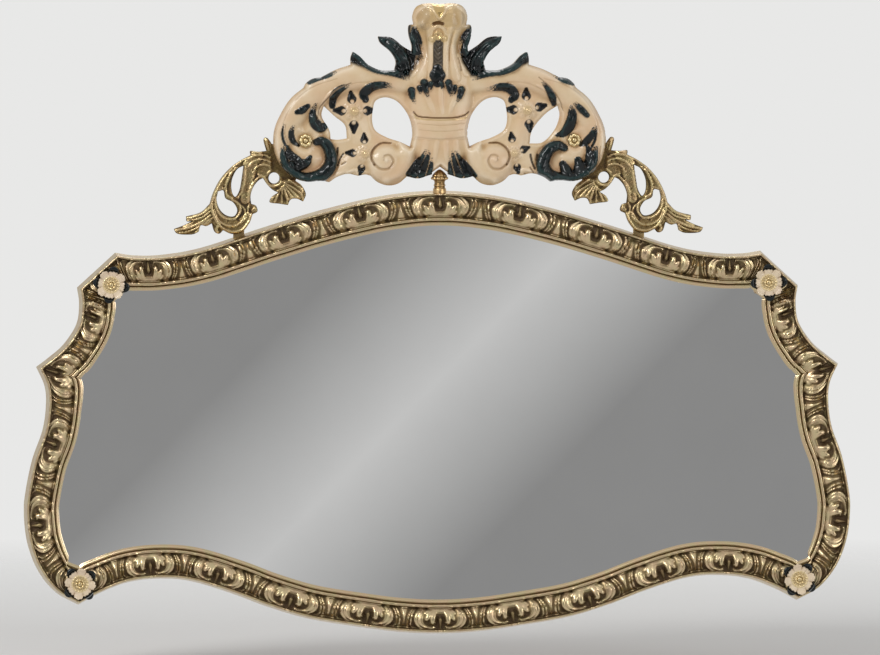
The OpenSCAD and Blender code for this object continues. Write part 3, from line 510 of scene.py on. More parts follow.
# %% Half a motif: across from its centre, in from the outer edge, half width, height
MOTIF_HALF = 58.0
motif_strokes = [
    # The pit, with the drop on its rod
    ([[0, 10, 7.5, 2.2], [0, 22, 7.0, 2.6]], "flat", "cut", {}),
    ([[0, 5, 2.6, 2.6], [0, 13, 2.2, 2.4], [0, 19, 2.8, 2.4], [0, 22.6, 3.4, 2.4],
      [0, 25.4, 2.0, 1.4]], "round", "over", {}),
    # The broad crescent with fine ridges, and the small curl at its inner end
    ([[11, 9.6, 1.8, 2.8], [20, 9.8, 3.0, 3.8], [28, 12.2, 5.2, 4.6], [33.8, 19.5, 7.4, 5.0],
      [33.8, 28, 7.4, 4.8], [30, 36, 5.2, 3.4]], "ribs", "over", {"ribs": 5}),
    ([[24, 8.6, 1.3, 0.7], [34, 11, 1.5, 1.2], [39.5, 19, 1.3, 1.2], [38.5, 28, 1.3, 0.8]],
     "round", "add", {}),
    ([[20.5, 8.8, 0.9, 0.9], [29.6, 11, 1.1, 1.5], [36.4, 19.5, 1.2, 1.7], [36.2, 28.5, 1.1, 1.5],
      [31.6, 36.5, 0.9, 0.9]], "soft", "cut", {}),
    ([[19, 11.4, 0.8, 0.8], [26, 14.2, 1.1, 1.4], [30.8, 20.5, 1.2, 1.6], [30.8, 27.5, 1.1, 1.4],
      [28, 34, 0.9, 0.9]], "soft", "cut", {}),
    ([[9.6, 10.6, 2.0, 4.2]], "round", "over", {}),
    ([[31.5, 31.5, 3.4, 1.3]], "soft", "add", {}),
    ([[37.0, 30.5, 2.8, 1.0]], "soft", "add", {}),
    # The cup: three lobes on each side of the pit, joined at the foot
    ([[0, 38, 7.5, 3.4], [9, 37.6, 6.8, 3.8], [17, 37.4, 4.5, 3.2]], "round", "over", {}),
    ([[9, 36, 5.0, 3.4], [11.2, 29, 4.8, 4.6], [12.6, 22.5, 4.5, 5.0], [12.8, 18.4, 3.9, 4.6]],
     "round", "over", {}),
    ([[13, 36, 4.4, 3.4], [17.4, 30.5, 4.4, 4.4], [20.4, 25.5, 3.9, 4.8], [21.8, 22.8, 3.1, 4.2]],
     "round", "over", {}),
    ([[17, 37, 3.2, 3.0], [21.2, 34, 3.2, 3.6], [23.4, 31.4, 2.8, 3.4]], "round", "over", {}),
    ([[9.4, 34, 0.9, 0.6], [12.4, 26, 1.1, 1.0], [13.2, 20, 0.8, 0.5]], "soft", "cut", {}),
    ([[14.5, 34, 0.8, 0.6], [19.2, 28.4, 1.0, 0.9], [21.4, 24, 0.7, 0.4]], "soft", "cut", {}),
    ([[8.6, 18.2, 1.5, 3.0]], "round", "over", {}),
    ([[26.6, 20, 2.0, 0.6], [26.8, 27, 2.8, 1.7], [25.5, 36, 3.0, 1.9]], "flat", "over", {}),
    # Flutes between two motifs, with their cap
    ([[51, 12, 6.5, 0.6], [50, 24, 8.5, 0.8], [49, 37, 9, 0.8]], "flat", "over", {}),
    ([[43.2, 9.6, 1.1, 2.6], [46.2, 13.5, 1.4, 3.6], [46.4, 21, 1.4, 4.0], [44.4, 29.5, 1.4, 3.8],
      [40.8, 36.8, 1.4, 2.6]], "round", "over", {}),
    ([[49.6, 10.6, 1.3, 3.0], [51.4, 15, 1.4, 3.8], [50.8, 23, 1.4, 4.0], [48.4, 30.5, 1.4, 3.8],
      [45, 37, 1.4, 2.6]], "round", "over", {}),
    ([[50, 9.2, 1.7, 3.0], [54, 7.8, 2.2, 3.8], [58, 7.6, 2.8, 4.2]], "round", "over", {}),
    ([[58, 13.5, 1.2, 3.6], [58, 23, 2.2, 4.4], [58, 30, 4.4, 4.5], [58, 38, 7.0, 3.6]],
     "round", "over", {}),
    # Small lumps on the outer bead
    ([[58, 5.4, 4.5, 1.0]], "soft", "add", {}),
    ([[45.5, 6.2, 2.2, 0.8]], "soft", "add", {}),
    ([[24, 6.0, 5, 0.6]], "soft", "add", {}),
    ([[5.0, 5.2, 1.8, 0.9]], "soft", "cut", {}),
]

# %% The motif as a height map with 0.4 mm cells
MAP_CELL = 0.4
moulding_w, moulding_d, rim_w = 50.0, 27.0, 4.5
motif_s = np.arange(0, MOTIF_HALF + MAP_CELL, MAP_CELL)
motif_v = np.arange(0, moulding_w + MAP_CELL, MAP_CELL)
ms, mv = np.meshgrid(motif_s, motif_v, indexing="ij")
motif_points = np.column_stack([ms.ravel(), mv.ravel()])
zero = np.zeros(len(motif_points))
motif_map = carve(motif_points, zero.copy(), zero, motif_strokes).reshape(ms.shape)
motif_map = blurred(motif_map, 1)
print("motif rises", round(motif_map.max(), 2), "mm and sinks", round(motif_map.min(), 2), "mm")

groove_out = np.array([8.1, moulding_d - 4.8])
groove_in = np.array([moulding_w - 12.4, moulding_d - 7])
crown = [list(groove_out * (1 - t) + groove_in * t + [0, 5.9 * math.sin(math.pi * t)])
         for t in np.linspace(0, 1, 13)]
front = np.array([[0, 0], [1.1, 7.2], [rim_w - 1.5, moulding_d - 5.2], [3.6, 24.6],
                  [4.2, 25.7], [5.3, 26.0], [6.4, 25.3], [7.3, 23.0]] + crown + [
                      [38.8, 21.4], [39.6, 22.4], [41.8, 22.2], [42.8, 20.6], [43.5, 18.0],
                      [44.3, 18.0], [45.0, 19.6], [46.2, 19.8], [48.4, 18.6], [50, 15]])
back = [[42, 15], [42, 8], [22, 8], [22, 18.5], [8, 18.5], [4.5, 0]]
carve_depth = 4.2

# %% [markdown]
# ## Casting the six frame pieces
# A casting is a grid as well: along the run in one direction, and round the cross-section in the
# other. Its columns are laid on the section's points, the carving is looked up for each of them,
# the last column is merged with the first and both ends are filled.


# %% One casting
def section_points(cell=0.95):
    """Points round the moulding's cross-section: close together in front, few behind."""
    gaps = np.hypot(*np.diff(front, axis=0).T)
    at = np.concatenate([[0], np.cumsum(gaps)])
    n = int(at[-1] / cell)
    t = np.linspace(0, at[-1], n + 1)
    face = np.column_stack([np.interp(t, at, front[:, 0]), np.interp(t, at, front[:, 1])])
    return np.vstack([face, back, face[:1]]), n + 1


section, face_count = section_points()


def run_stations(parts, cell=1.15):
    """Places and spokes along parts of runs: (run, from share, to share, mirrored)."""
    places, ways = [], []
    for r, u0, u1, flip in parts:
        n = max(int(abs(u1 - u0) * lengths[r] / cell), 2)
        p, s = spokes(r, np.linspace(u0, u1, n + 1))
        if flip:
            p, s = p * mirror_x, s * mirror_x
        skip = 1 if places else 0
        places.append(p[skip:])
        ways.append(s[skip:])
    return np.vstack(places) + [0, top_z], np.vstack(ways)


def motif_height(s, v, centres, seed):
    """Looks up the carving for places s along the run and v across it, and how far each place
    is from its motif's centre."""
    rng = np.random.default_rng(seed)
    wobble = sum(a * np.sin(s / l + p) for a, l, p in zip(
        (0.35, 0.25, 0.15), (17.0, 7.3, 3.9), rng.uniform(0, 6.28, 3)))
    warped = s + wobble
    edges = np.concatenate([[2 * centres[0] - centres[1]], centres,
                            [2 * centres[-1] - centres[-2]]])
    k = np.clip(np.searchsorted(edges, warped) - 1, 0, len(edges) - 2)
    a, b = edges[k], edges[k + 1]
    local = (1 - np.abs(2 * (warped - a) / (b - a) - 1)) * MOTIF_HALF
    local = np.clip(local, 0, MOTIF_HALF)
    i, j = local / MAP_CELL, np.clip(v, 0, moulding_w) / MAP_CELL
    i0 = np.minimum(i.astype(int), len(motif_s) - 2)
    j0 = np.minimum(j.astype(int), len(motif_v) - 2)
    fi, fj = i - i0, j - j0
    rise = ((motif_map[i0, j0] * (1 - fi) + motif_map[i0 + 1, j0] * fi) * (1 - fj)
            + (motif_map[i0, j0 + 1] * (1 - fi) + motif_map[i0 + 1, j0 + 1] * fi) * fj)
    return rise, local


def frame_casting(name, parts, centres_at, seed):
    places, ways = run_stations(parts)
    middle = places + ways * 24
    s = np.concatenate([[0], np.cumsum(np.hypot(*np.diff(middle, axis=0).T))])
    centres = []
    for target in centres_at:
        d = np.hypot(*(middle - np.array(target)).T)
        centres.append(s[np.argmin(d)])
    centres = np.array(sorted(centres))
    n_s, n_c = len(places), len(section)
    v = section[:, 0]
    f = section[:, 1]
    in_front = np.arange(n_c) < face_count
    carved = step(6.2, 8.0, v) * step(38.6, 36.6, v) * in_front
    bead = step(2.4, 3.4, v) * in_front
    S, V = np.meshgrid(s, v, indexing="ij")
    lift, local = motif_height(S.ravel(), V.ravel() + 1.3, centres, seed)
    lift, local = lift.reshape(S.shape), local.reshape(S.shape)
    rise = carved * (lift - carve_depth) + (bead - np.minimum(bead, carved)) * np.clip(
        lift, -1, 1)
    # The carving never breaks through to the hollow behind the crown
    wall = np.interp(v, [6, 7.5, 22.5, 24], [0, 19.2, 19.2, 0]) * in_front
    height = np.maximum(f + rise, wall)
    relief = np.full_like(height, 0.2)
    face = height[:, :face_count] - (f - carved * carve_depth * 0.5)[:face_count]
    sharp = (face - blurred(face, 4)) / 2.2
    relief[:, :face_count] = sharp + carved[:face_count] * face / 3.4
    # Patina was left in the pits round the drops and in the thin lines of rim and lip
    relief -= 1.4 * np.exp(-(local / 6.0) ** 2) * step(5, 9, v) * step(29, 24, v) * in_front
    lines = sum(np.exp(-((v - at) / 0.7) ** 2) for at in (7.1, 38.2, 43.9))
    plain = 0.35 + 0.8 * step(30, 36, v) + 0.6 * step(44, 45.5, v)
    relief += ((1 - carved) * plain - 2.4 * lines) * in_front
    relief = np.clip(relief, -1.5, 1.5)

    bm = bmesh.new()
    bmesh.ops.create_grid(bm, x_segments=n_c - 1, y_segments=n_s - 1, size=0.5)
    layer = bm.verts.layers.float.new("relief")
    bm.verts.ensure_lookup_table()
    flat_x = places[:, None, 0] + ways[:, None, 0] * v
    flat_z = places[:, None, 1] + ways[:, None, 1] * v
    coords = np.stack([flat_x, -height, flat_z], axis=-1).reshape(-1, 3) * MM
    values = relief.ravel()
    for vert, co, value in zip(bm.verts, coords, values):
        vert.co = co
        vert[layer] = float(value)
    bmesh.ops.remove_doubles(bm, verts=bm.verts, dist=0.01 * MM)
    ends = [e for e in bm.edges if len(e.link_faces) == 1]
    first = np.array(coords[0])
    near = [e for e in ends if all((np.array(w.co) - first)[[0, 2]] @ (
        np.array(w.co) - first)[[0, 2]] < (0.075 ** 2) for w in e.verts)]
    far = [e for e in ends if e not in set(near)]
    for loop in (near, far):
        bmesh.ops.triangle_fill(bm, use_beauty=True, edges=loop)
    body = "frame"
    return finish_piece(name + "_cast", bm, [name], body, "cast_brass", frame_brass)


def mirrored(points):
    return [(-x, z) for x, z in points]


top_marks = [(0, 104), (116, 95), (228, 66), (330, 33), (421, 12)]
top_all = mirrored(top_marks[1:]) + top_marks
apron_marks = [(0, -487), (105, -482), (217, -462), (325, -433), (420, -413)]
apron_all = mirrored(apron_marks[1:]) + apron_marks
waist_marks = [(463, -14), (497, -52), (555, -130)]
bulge_marks = [(556, -128), (546, -238), (572, -350), (520, -440)]
frame_casting("frame_top_rail", [(CORNER, 0.5, 0, True), (ARCH, 1, 0, True), (ARCH, 0, 1, False),
                                 (CORNER, 0, 0.5, False)], top_all, 1)
frame_casting("frame_bottom_rail", [(APRON, 0, 1, False), (APRON, 1, 0, True)], apron_all, 2)
frame_casting("frame_right_upper", [(CORNER, 0.5, 1, False), (WAIST, 0, 1, False)],
              waist_marks, 3)
frame_casting("frame_left_upper", [(CORNER, 0.5, 1, True), (WAIST, 0, 1, True)],
              mirrored(waist_marks), 4)
frame_casting("frame_right_lower", [(BULGE, 0, 1, False)], bulge_marks, 5)
frame_casting("frame_left_lower", [(BULGE, 0, 1, True)], mirrored(bulge_marks), 6)


# %% [markdown]
# ## The porcelain crest
# The crest was slip-cast in one piece: a central trunk that opens into two broad bands, with
# a rolled scroll at each end. Its leaves, drops and crescents were raised in the mould and then
# painted teal over the cream glaze, and a few lines and the nodules at the top were gilded. The
# relief is built in three passes: the large masses first, then the leaves on top of them, and
# last the thin incised and painted lines. Lengths are across and above the crest's own datum.


# %% Strokes for the crest
def stroke(points, widths, rises, kind="round", mode="over", **extra):
    """A stroke whose widths and heights are spread evenly along its points."""
    at = np.linspace(0, 1, len(points))
    w = np.interp(at, np.linspace(0, 1, len(widths)), widths)
    h = np.interp(at, np.linspace(0, 1, len(rises)), rises)
    return [[x, z, a, b] for (x, z), a, b in zip(points, w, h)], kind, mode, extra


def flip(strokes):
    return [([[-k[0], *k[1:]] for k in knots], kind, mode, extra)
            for knots, kind, mode, extra in strokes]


def teal(points, widths, rises, kind="leaf", fade=0, **extra):
    """A painted leaf; its paint runs out in streaks at its start, 0, or its end, 1."""
    return stroke(points, widths, rises, kind, paint="teal", fade=fade, **extra)


def gilt_line(points, widths, rises=(0.8,), **extra):
    return stroke(points, widths, rises, "round", "over", paint="gilt", **extra)


def incised(points, widths, rises=(1.0,), strength=0.9, paint="umber"):
    return stroke(points, widths, rises, "soft", "cut", paint=paint, strength=strength)


side_masses = [
    stroke([(30, 150), (60, 156), (95, 160), (130, 160), (165, 148), (195, 130), (216, 104),
            (228, 78), (230, 52), (220, 32), (204, 20)],
           [14, 17, 18, 20, 22, 22, 20, 15, 12, 10, 7],
           [6, 8, 9.5, 10.5, 11, 11, 10.5, 9, 8, 6, 4]),
    stroke([(126, 112)], [28], [5.5], "soft"),
    stroke([(106, 52)], [26], [5.5], "soft"),
    stroke([(122, 96), (114, 72), (108, 50)], [20, 18, 20], [5, 4.5, 5], "soft"),
    stroke([(116, 50), (134, 32), (154, 14)], [18, 16, 6], [5, 5, 3], "soft"),
    stroke([(184, 118), (186, 95), (180, 74)], [13, 15, 12], [5, 6, 4], "soft"),
    stroke([(205, 112), (208, 84), (196, 50), (180, 42)], [14, 14, 20, 10], [6, 6, 5, 4], "soft"),
    stroke([(38, 104), (45, 74), (50, 50), (60, 28), (78, 16)], [8, 11, 14, 14, 10],
           [9, 11, 12.5, 12.5, 11]),
    stroke([(79, 36)], [27], [14.5]),
    stroke([(62, 48)], [14], [12], "soft"),
]
trunk_masses = [
    stroke([(0, 30), (0, 46), (0, 64), (0, 84), (0, 102), (0, 124), (0, 146), (2, 168), (2, 190),
            (2, 206), (3, 222), (4, 238), (4, 254), (4, 262)],
           [20, 34, 41, 43, 43, 46, 46, 40, 27, 22, 26, 37, 39, 36],
           [7, 11, 13, 14.5, 14.5, 13.5, 13, 12.5, 12, 12, 13, 15, 15, 9]),
    stroke([(-20, 250), (-26, 238)], [14, 12], [16.5, 15], "soft"),
    stroke([(27, 250), (33, 238)], [14, 12], [16.5, 15], "soft"),
]

# %% Leaves, flowers and lines that both sides share
spiral = [(79 + r * math.cos(math.radians(a)), 41 + r * math.sin(math.radians(a)))
          for r, a in ((25.4, 109), (24.6, 75), (23.4, 40), (21.2, 8), (18, -22), (15, -60),
                       (12.6, -110), (10.4, -170), (8.4, -235), (6.2, -300), (3.6, -370))]
side_details = [
    # Rolled inner edge of the broad band
    stroke([(140, 148), (158, 138), (170, 122), (178, 104), (176, 84)], [2.2, 3, 3, 2.6, 1.5],
           [1.4, 2, 2, 1.6, 0.6]),
    # Spiral groove of the rolled scroll, which runs out towards its middle. Its brown line is
    # partly painted line work and partly painted shade in the groove
    incised(spiral[:5], [1.4, 2.2, 2.4], [2.0, 2.4, 2.2], 0.62),
    incised(spiral[4:], [2.6, 2.4, 1.6], [2.4, 2.2, 1.0], 0.26),
    stroke([(79, 41)], [5], [2.2], "soft", "add"),
    # Long grooves that follow the outer edge of the band
    incised([(150, 158), (181, 148), (206, 131), (223, 106), (231, 80)], [1.0, 1.4, 1.0], [0.9],
            0.16),
    incised([(66, 144), (92, 152), (122, 152), (146, 143)], [0.9, 1.2, 0.9], [0.8], 0.14),
    # Ribs of the mound at the foot of the flower panel
    stroke([(112, 24), (126, 26), (140, 18), (152, 11)], [2.4, 2.6, 2, 1.2], [1.6, 1.8, 1]),
]
left_details = flip(side_details) + [
    # Fringe beside the neck, and the tall leaves behind the trunk
    teal([(-27, 184), (-35, 199), (-38, 214), (-37, 230)], [4, 8, 8, 4], [3, 6, 7, 3]),
    teal([(-27, 200), (-30, 214), (-33, 226)], [3, 4, 2.5], [2, 4, 2]),
    teal([(-38, 194), (-44, 198)], [4, 3], [4, 2], fade=None),
    teal([(-38, 213), (-44, 218)], [4, 3], [4, 2], fade=None),
    teal([(-48, 162), (-53, 183), (-63, 198), (-76, 209), (-88, 215)], [7, 10, 10, 8, 3],
         [5, 9, 9, 7, 3]),
    teal([(-62, 196), (-72, 202), (-80, 203)], [5, 6, 3], [7, 8, 5]),
    teal([(-50, 172), (-58, 180), (-64, 184)], [5, 6, 4], [6, 7, 5]),
    teal([(-48, 160), (-70, 167), (-95, 173), (-113, 184), (-127, 195)], [5, 6, 7, 7, 3],
         [3, 6, 8, 8, 4]),
    teal([(-92, 173), (-97, 181), (-99, 185)], [5, 4, 2], [6, 5, 3]),
    teal([(-110, 181), (-118, 188), (-121, 194)], [5, 5, 2], [7, 6, 3]),
    teal([(-150, 168), (-165, 163), (-178, 159), (-190, 152)], [3, 5, 5, 3], [2, 4, 4, 2]),
    # Leaf that curls over the eye, and the leaf beside the flower
    teal([(-70, 147), (-86, 149), (-101, 145), (-110, 136), (-108, 128)], [3.5, 6, 7.5, 8, 5.5],
         [2, 4, 5, 5, 2]),
    stroke([(-76, 146), (-92, 145), (-104, 139)], [1.2, 1.6, 1.2], [1.0, 1.4, 0.8]),
    teal([(-131, 150), (-145, 143), (-154, 133), (-156, 119)], [2.5, 6, 7, 5], [1.5, 3.5, 4, 2]),
    # Bud, leaf above the scroll and the two crescents
    teal([(-192, 119), (-200, 113), (-208, 110)], [4, 6, 4], [2, 3.4, 2], fade=None),
    stroke([(-195, 117), (-203, 112)], [2.2, 2.6], [1.6, 1.6]),
    teal([(-179, 124), (-185, 107), (-181, 94), (-172, 88), (-163, 92)], [2, 6, 8.5, 8, 3.5],
         [2, 5, 7, 6, 3]),
    stroke([(-178, 110), (-174, 97), (-166, 87)], [2.2, 4, 2], [2.4, 3.4, 1.4]),
    teal([(-212, 92), (-216, 80), (-213, 69), (-205, 62)], [2, 5, 5, 2.5], [1.2, 3, 3, 1.2]),
    teal([(-226, 96), (-229, 80), (-226, 66), (-218, 56)], [1.2, 2.4, 2.6, 1.4],
         [0.8, 1.6, 1.4, 0.6]),
    # The large dark scroll
    teal([(-179, 67), (-172, 68), (-164, 62), (-159, 51), (-158, 38), (-164, 26), (-177, 17),
          (-195, 14), (-211, 20), (-222, 32), (-227, 46), (-228, 64)],
         [5.5, 7.5, 9, 9.5, 10, 10.5, 10.5, 10, 9, 7, 5.5, 2.2],
         [5, 8, 10, 11, 11.5, 12, 12, 11, 10, 8, 5, 3], "round", 1),
    teal([(-221, 60), (-216, 48), (-206, 40)], [3, 7, 7], [3, 6, 6], fade=None),
    teal([(-214, 34), (-202, 34), (-193, 38), (-188, 46)], [8, 9, 7, 3], [8, 7, 5, 2],
         fade=None),
    stroke([(-172, 68), (-166, 58), (-164, 46)], [2.2, 2.4, 1.4], [1.6, 1.6, 0.8], "soft", "add"),
    # Leaves at the foot of the trunk
    teal([(-12, 46), (-14, 30), (-16, 18)], [1.6, 3.8, 5], [1.5, 3, 3]),
    teal([(-24, 50), (-36, 36), (-46, 21)], [1.6, 3.8, 5], [1.5, 3, 3]),
    teal([(-21, 56), (-30, 38), (-38, 20)], [1.8, 4.4, 6.6], [1.5, 4, 4]),
    teal([(-16, 55), (-21, 38), (-27, 19)], [1.8, 4.6, 6.4], [1.5, 4.4, 4]),
    # Bracts where trunk and bands part, and the drop beside them
    teal([(-31, 145), (-28, 136)], [4.6, 2.6], [3.6, 2], "round", 1),
    teal([(-42, 141), (-41, 132), (-37, 123)], [6.2, 4.6, 1.8], [4.6, 4, 1.5], "round", 1),
    teal([(-15, 151), (-14, 141)], [4.4, 2.4], [3.6, 2], "round", 1),
    teal([(-24, 152), (-22, 142), (-18, 131)], [6.6, 5, 2.2], [4.8, 4, 1.6], "round", 1),
    stroke([(-42, 142)], [2.2], [1.6], "round", "add"),
    stroke([(-24, 153)], [2.4], [1.6], "round", "add"),
    # Slits at the foot of the panel
    incised([(-148, 58), (-149, 45)], [2, 1.6], [1.4], 0.9, "teal"),
    incised([(-140, 50), (-145, 42), (-148, 33)], [1.8, 1.2], [1.2], 0.9, "teal"),
    incised([(-137, 38), (-142, 35)], [1.5], [1.0], 0.8),
    incised([(-130, 152), (-150, 143), (-165, 128), (-175, 115), (-177, 100)],
            [0.9, 1.4, 1.6, 1.4, 0.8], [0.8, 1.2, 0.8], 0.7),
    incised([(-224, 92), (-225, 78), (-221, 66)], [0.9], [0.8], 0.5),
]
right_details = side_details + [
    teal([(31, 186), (37, 199), (41, 214), (47, 231)], [4, 8, 7, 4], [3, 6, 6, 3]),
    teal([(29, 206), (34, 219), (40, 228)], [2.5, 4, 2.5], [2, 4, 2]),
    teal([(38, 196), (45, 200)], [5, 3], [5, 3], fade=None),
    teal([(47, 162), (54, 183), (65, 199), (78, 209), (91, 217)], [7, 10, 9, 7, 2.5],
         [5, 9, 9, 7, 3]),
    teal([(66, 198), (78, 205), (90, 211)], [4, 5, 2.5], [7, 8, 4]),
    teal([(54, 172), (62, 180), (69, 184)], [5, 6, 4], [6, 7, 5]),
    teal([(48, 160), (70, 166), (92, 170), (112, 180), (127, 196)], [5, 6, 7, 7, 3],
         [3, 6, 8, 8, 4]),
    teal([(92, 171), (99, 179), (103, 184)], [5, 4, 2], [6, 5, 3]),
    teal([(113, 178), (119, 186), (121, 192)], [5, 5, 2], [7, 6, 3]),
    teal([(164, 164), (176, 157), (184, 154), (193, 150)], [3, 5, 5, 3], [2, 4, 4, 2]),
    teal([(70, 143), (88, 146), (101, 143), (108, 134), (103, 127)], [3.5, 6.5, 7.5, 7.5, 5],
         [2, 4, 5, 5, 2]),
    stroke([(76, 140), (90, 141), (101, 137)], [1.2, 1.6, 1.2], [1.0, 1.4, 0.8]),
    teal([(146, 154), (155, 144), (162, 131), (165, 121)], [2, 5, 6, 4], [1.5, 3.5, 4, 2]),
    teal([(193, 124), (203, 114), (212, 105)], [2.5, 5.5, 4.5], [1.5, 3.4, 3]),
    teal([(188, 121), (191, 106), (188, 91), (180, 80), (170, 76)], [3, 7, 9, 7, 3],
         [2, 5, 7, 5, 2]),
    stroke([(188, 118), (188, 106)], [2, 2.6], [2, 2]),
    teal([(224, 91), (220, 78), (212, 67), (204, 62)], [2, 5, 6, 3], [1.2, 3, 3.4, 1.6]),
    teal([(226, 92), (224, 70), (216, 52)], [1.2, 2.6, 1.6], [0.8, 1.6, 0.8]),
    teal([(180, 58), (171, 61), (160, 57), (152, 46), (149, 33), (155, 19), (168, 12), (186, 11),
          (204, 17), (217, 30), (223, 46), (226, 62)],
         [6, 8, 9, 10, 11, 12, 12.5, 12, 11, 9, 6, 2.5],
         [6, 9, 11, 12, 12.5, 13, 13, 12, 11, 8, 5, 3], "round", 1),
    teal([(186, 16), (182, 26), (178, 34)], [10, 9, 6], [11, 8, 3], "round", None),
    teal([(201, 20), (202, 32), (200, 40)], [10, 9, 6], [11, 8, 3], "round", None),
    teal([(216, 36), (216, 50), (213, 60)], [8, 6, 3], [9, 6, 3], "round", None),
    stroke([(160, 34), (168, 22), (178, 17)], [1.6, 2, 1.4], [1.4, 1.4, 0.8], "soft", "add"),
    teal([(12, 45), (14, 30), (16, 18)], [1.6, 3.8, 5], [1.5, 3, 3]),
    teal([(25, 49), (38, 34), (49, 18)], [1.6, 3.8, 5], [1.5, 3, 3]),
    teal([(21, 55), (31, 37), (40, 19)], [1.8, 4.4, 6.6], [1.5, 4, 4]),
    teal([(16, 54), (21, 37), (28, 18)], [1.8, 4.6, 6.4], [1.5, 4.4, 4]),
    teal([(20, 146), (20, 135)], [4.6, 2.6], [3.6, 2], "round", 1),
    teal([(1, 151), (3, 142)], [4.2, 2.4], [3.4, 2], "round", 1),
    teal([(30, 142), (27, 132), (23, 124)], [6.2, 4.6, 1.8], [4.6, 4, 1.5], "round", 1),
    teal([(11, 152), (13, 142), (16, 132)], [6.2, 4.8, 2.2], [4.8, 4, 1.6], "round", 1),
    stroke([(31, 143)], [2.2], [1.6], "round", "add"),
    stroke([(11, 153)], [2.4], [1.6], "round", "add"),
    incised([(131, 48), (133, 38), (137, 28)], [2.2, 1.8], [1.4], 0.9, "teal"),
    incised([(141, 48), (139, 35)], [2, 1.4], [1.2], 0.9, "teal"),
    incised([(130, 30), (137, 20)], [1.4], [1.0], 0.8),
    incised([(122, 21), (130, 17)], [1.2], [0.8], 0.8),
    incised([(142, 160), (158, 146), (172, 128), (178, 112)], [0.9, 1.3, 0.9], [1.0], 0.6),
    incised([(232, 60), (229, 36), (216, 22)], [0.8, 1.2, 0.8], [0.8], 0.7),
]

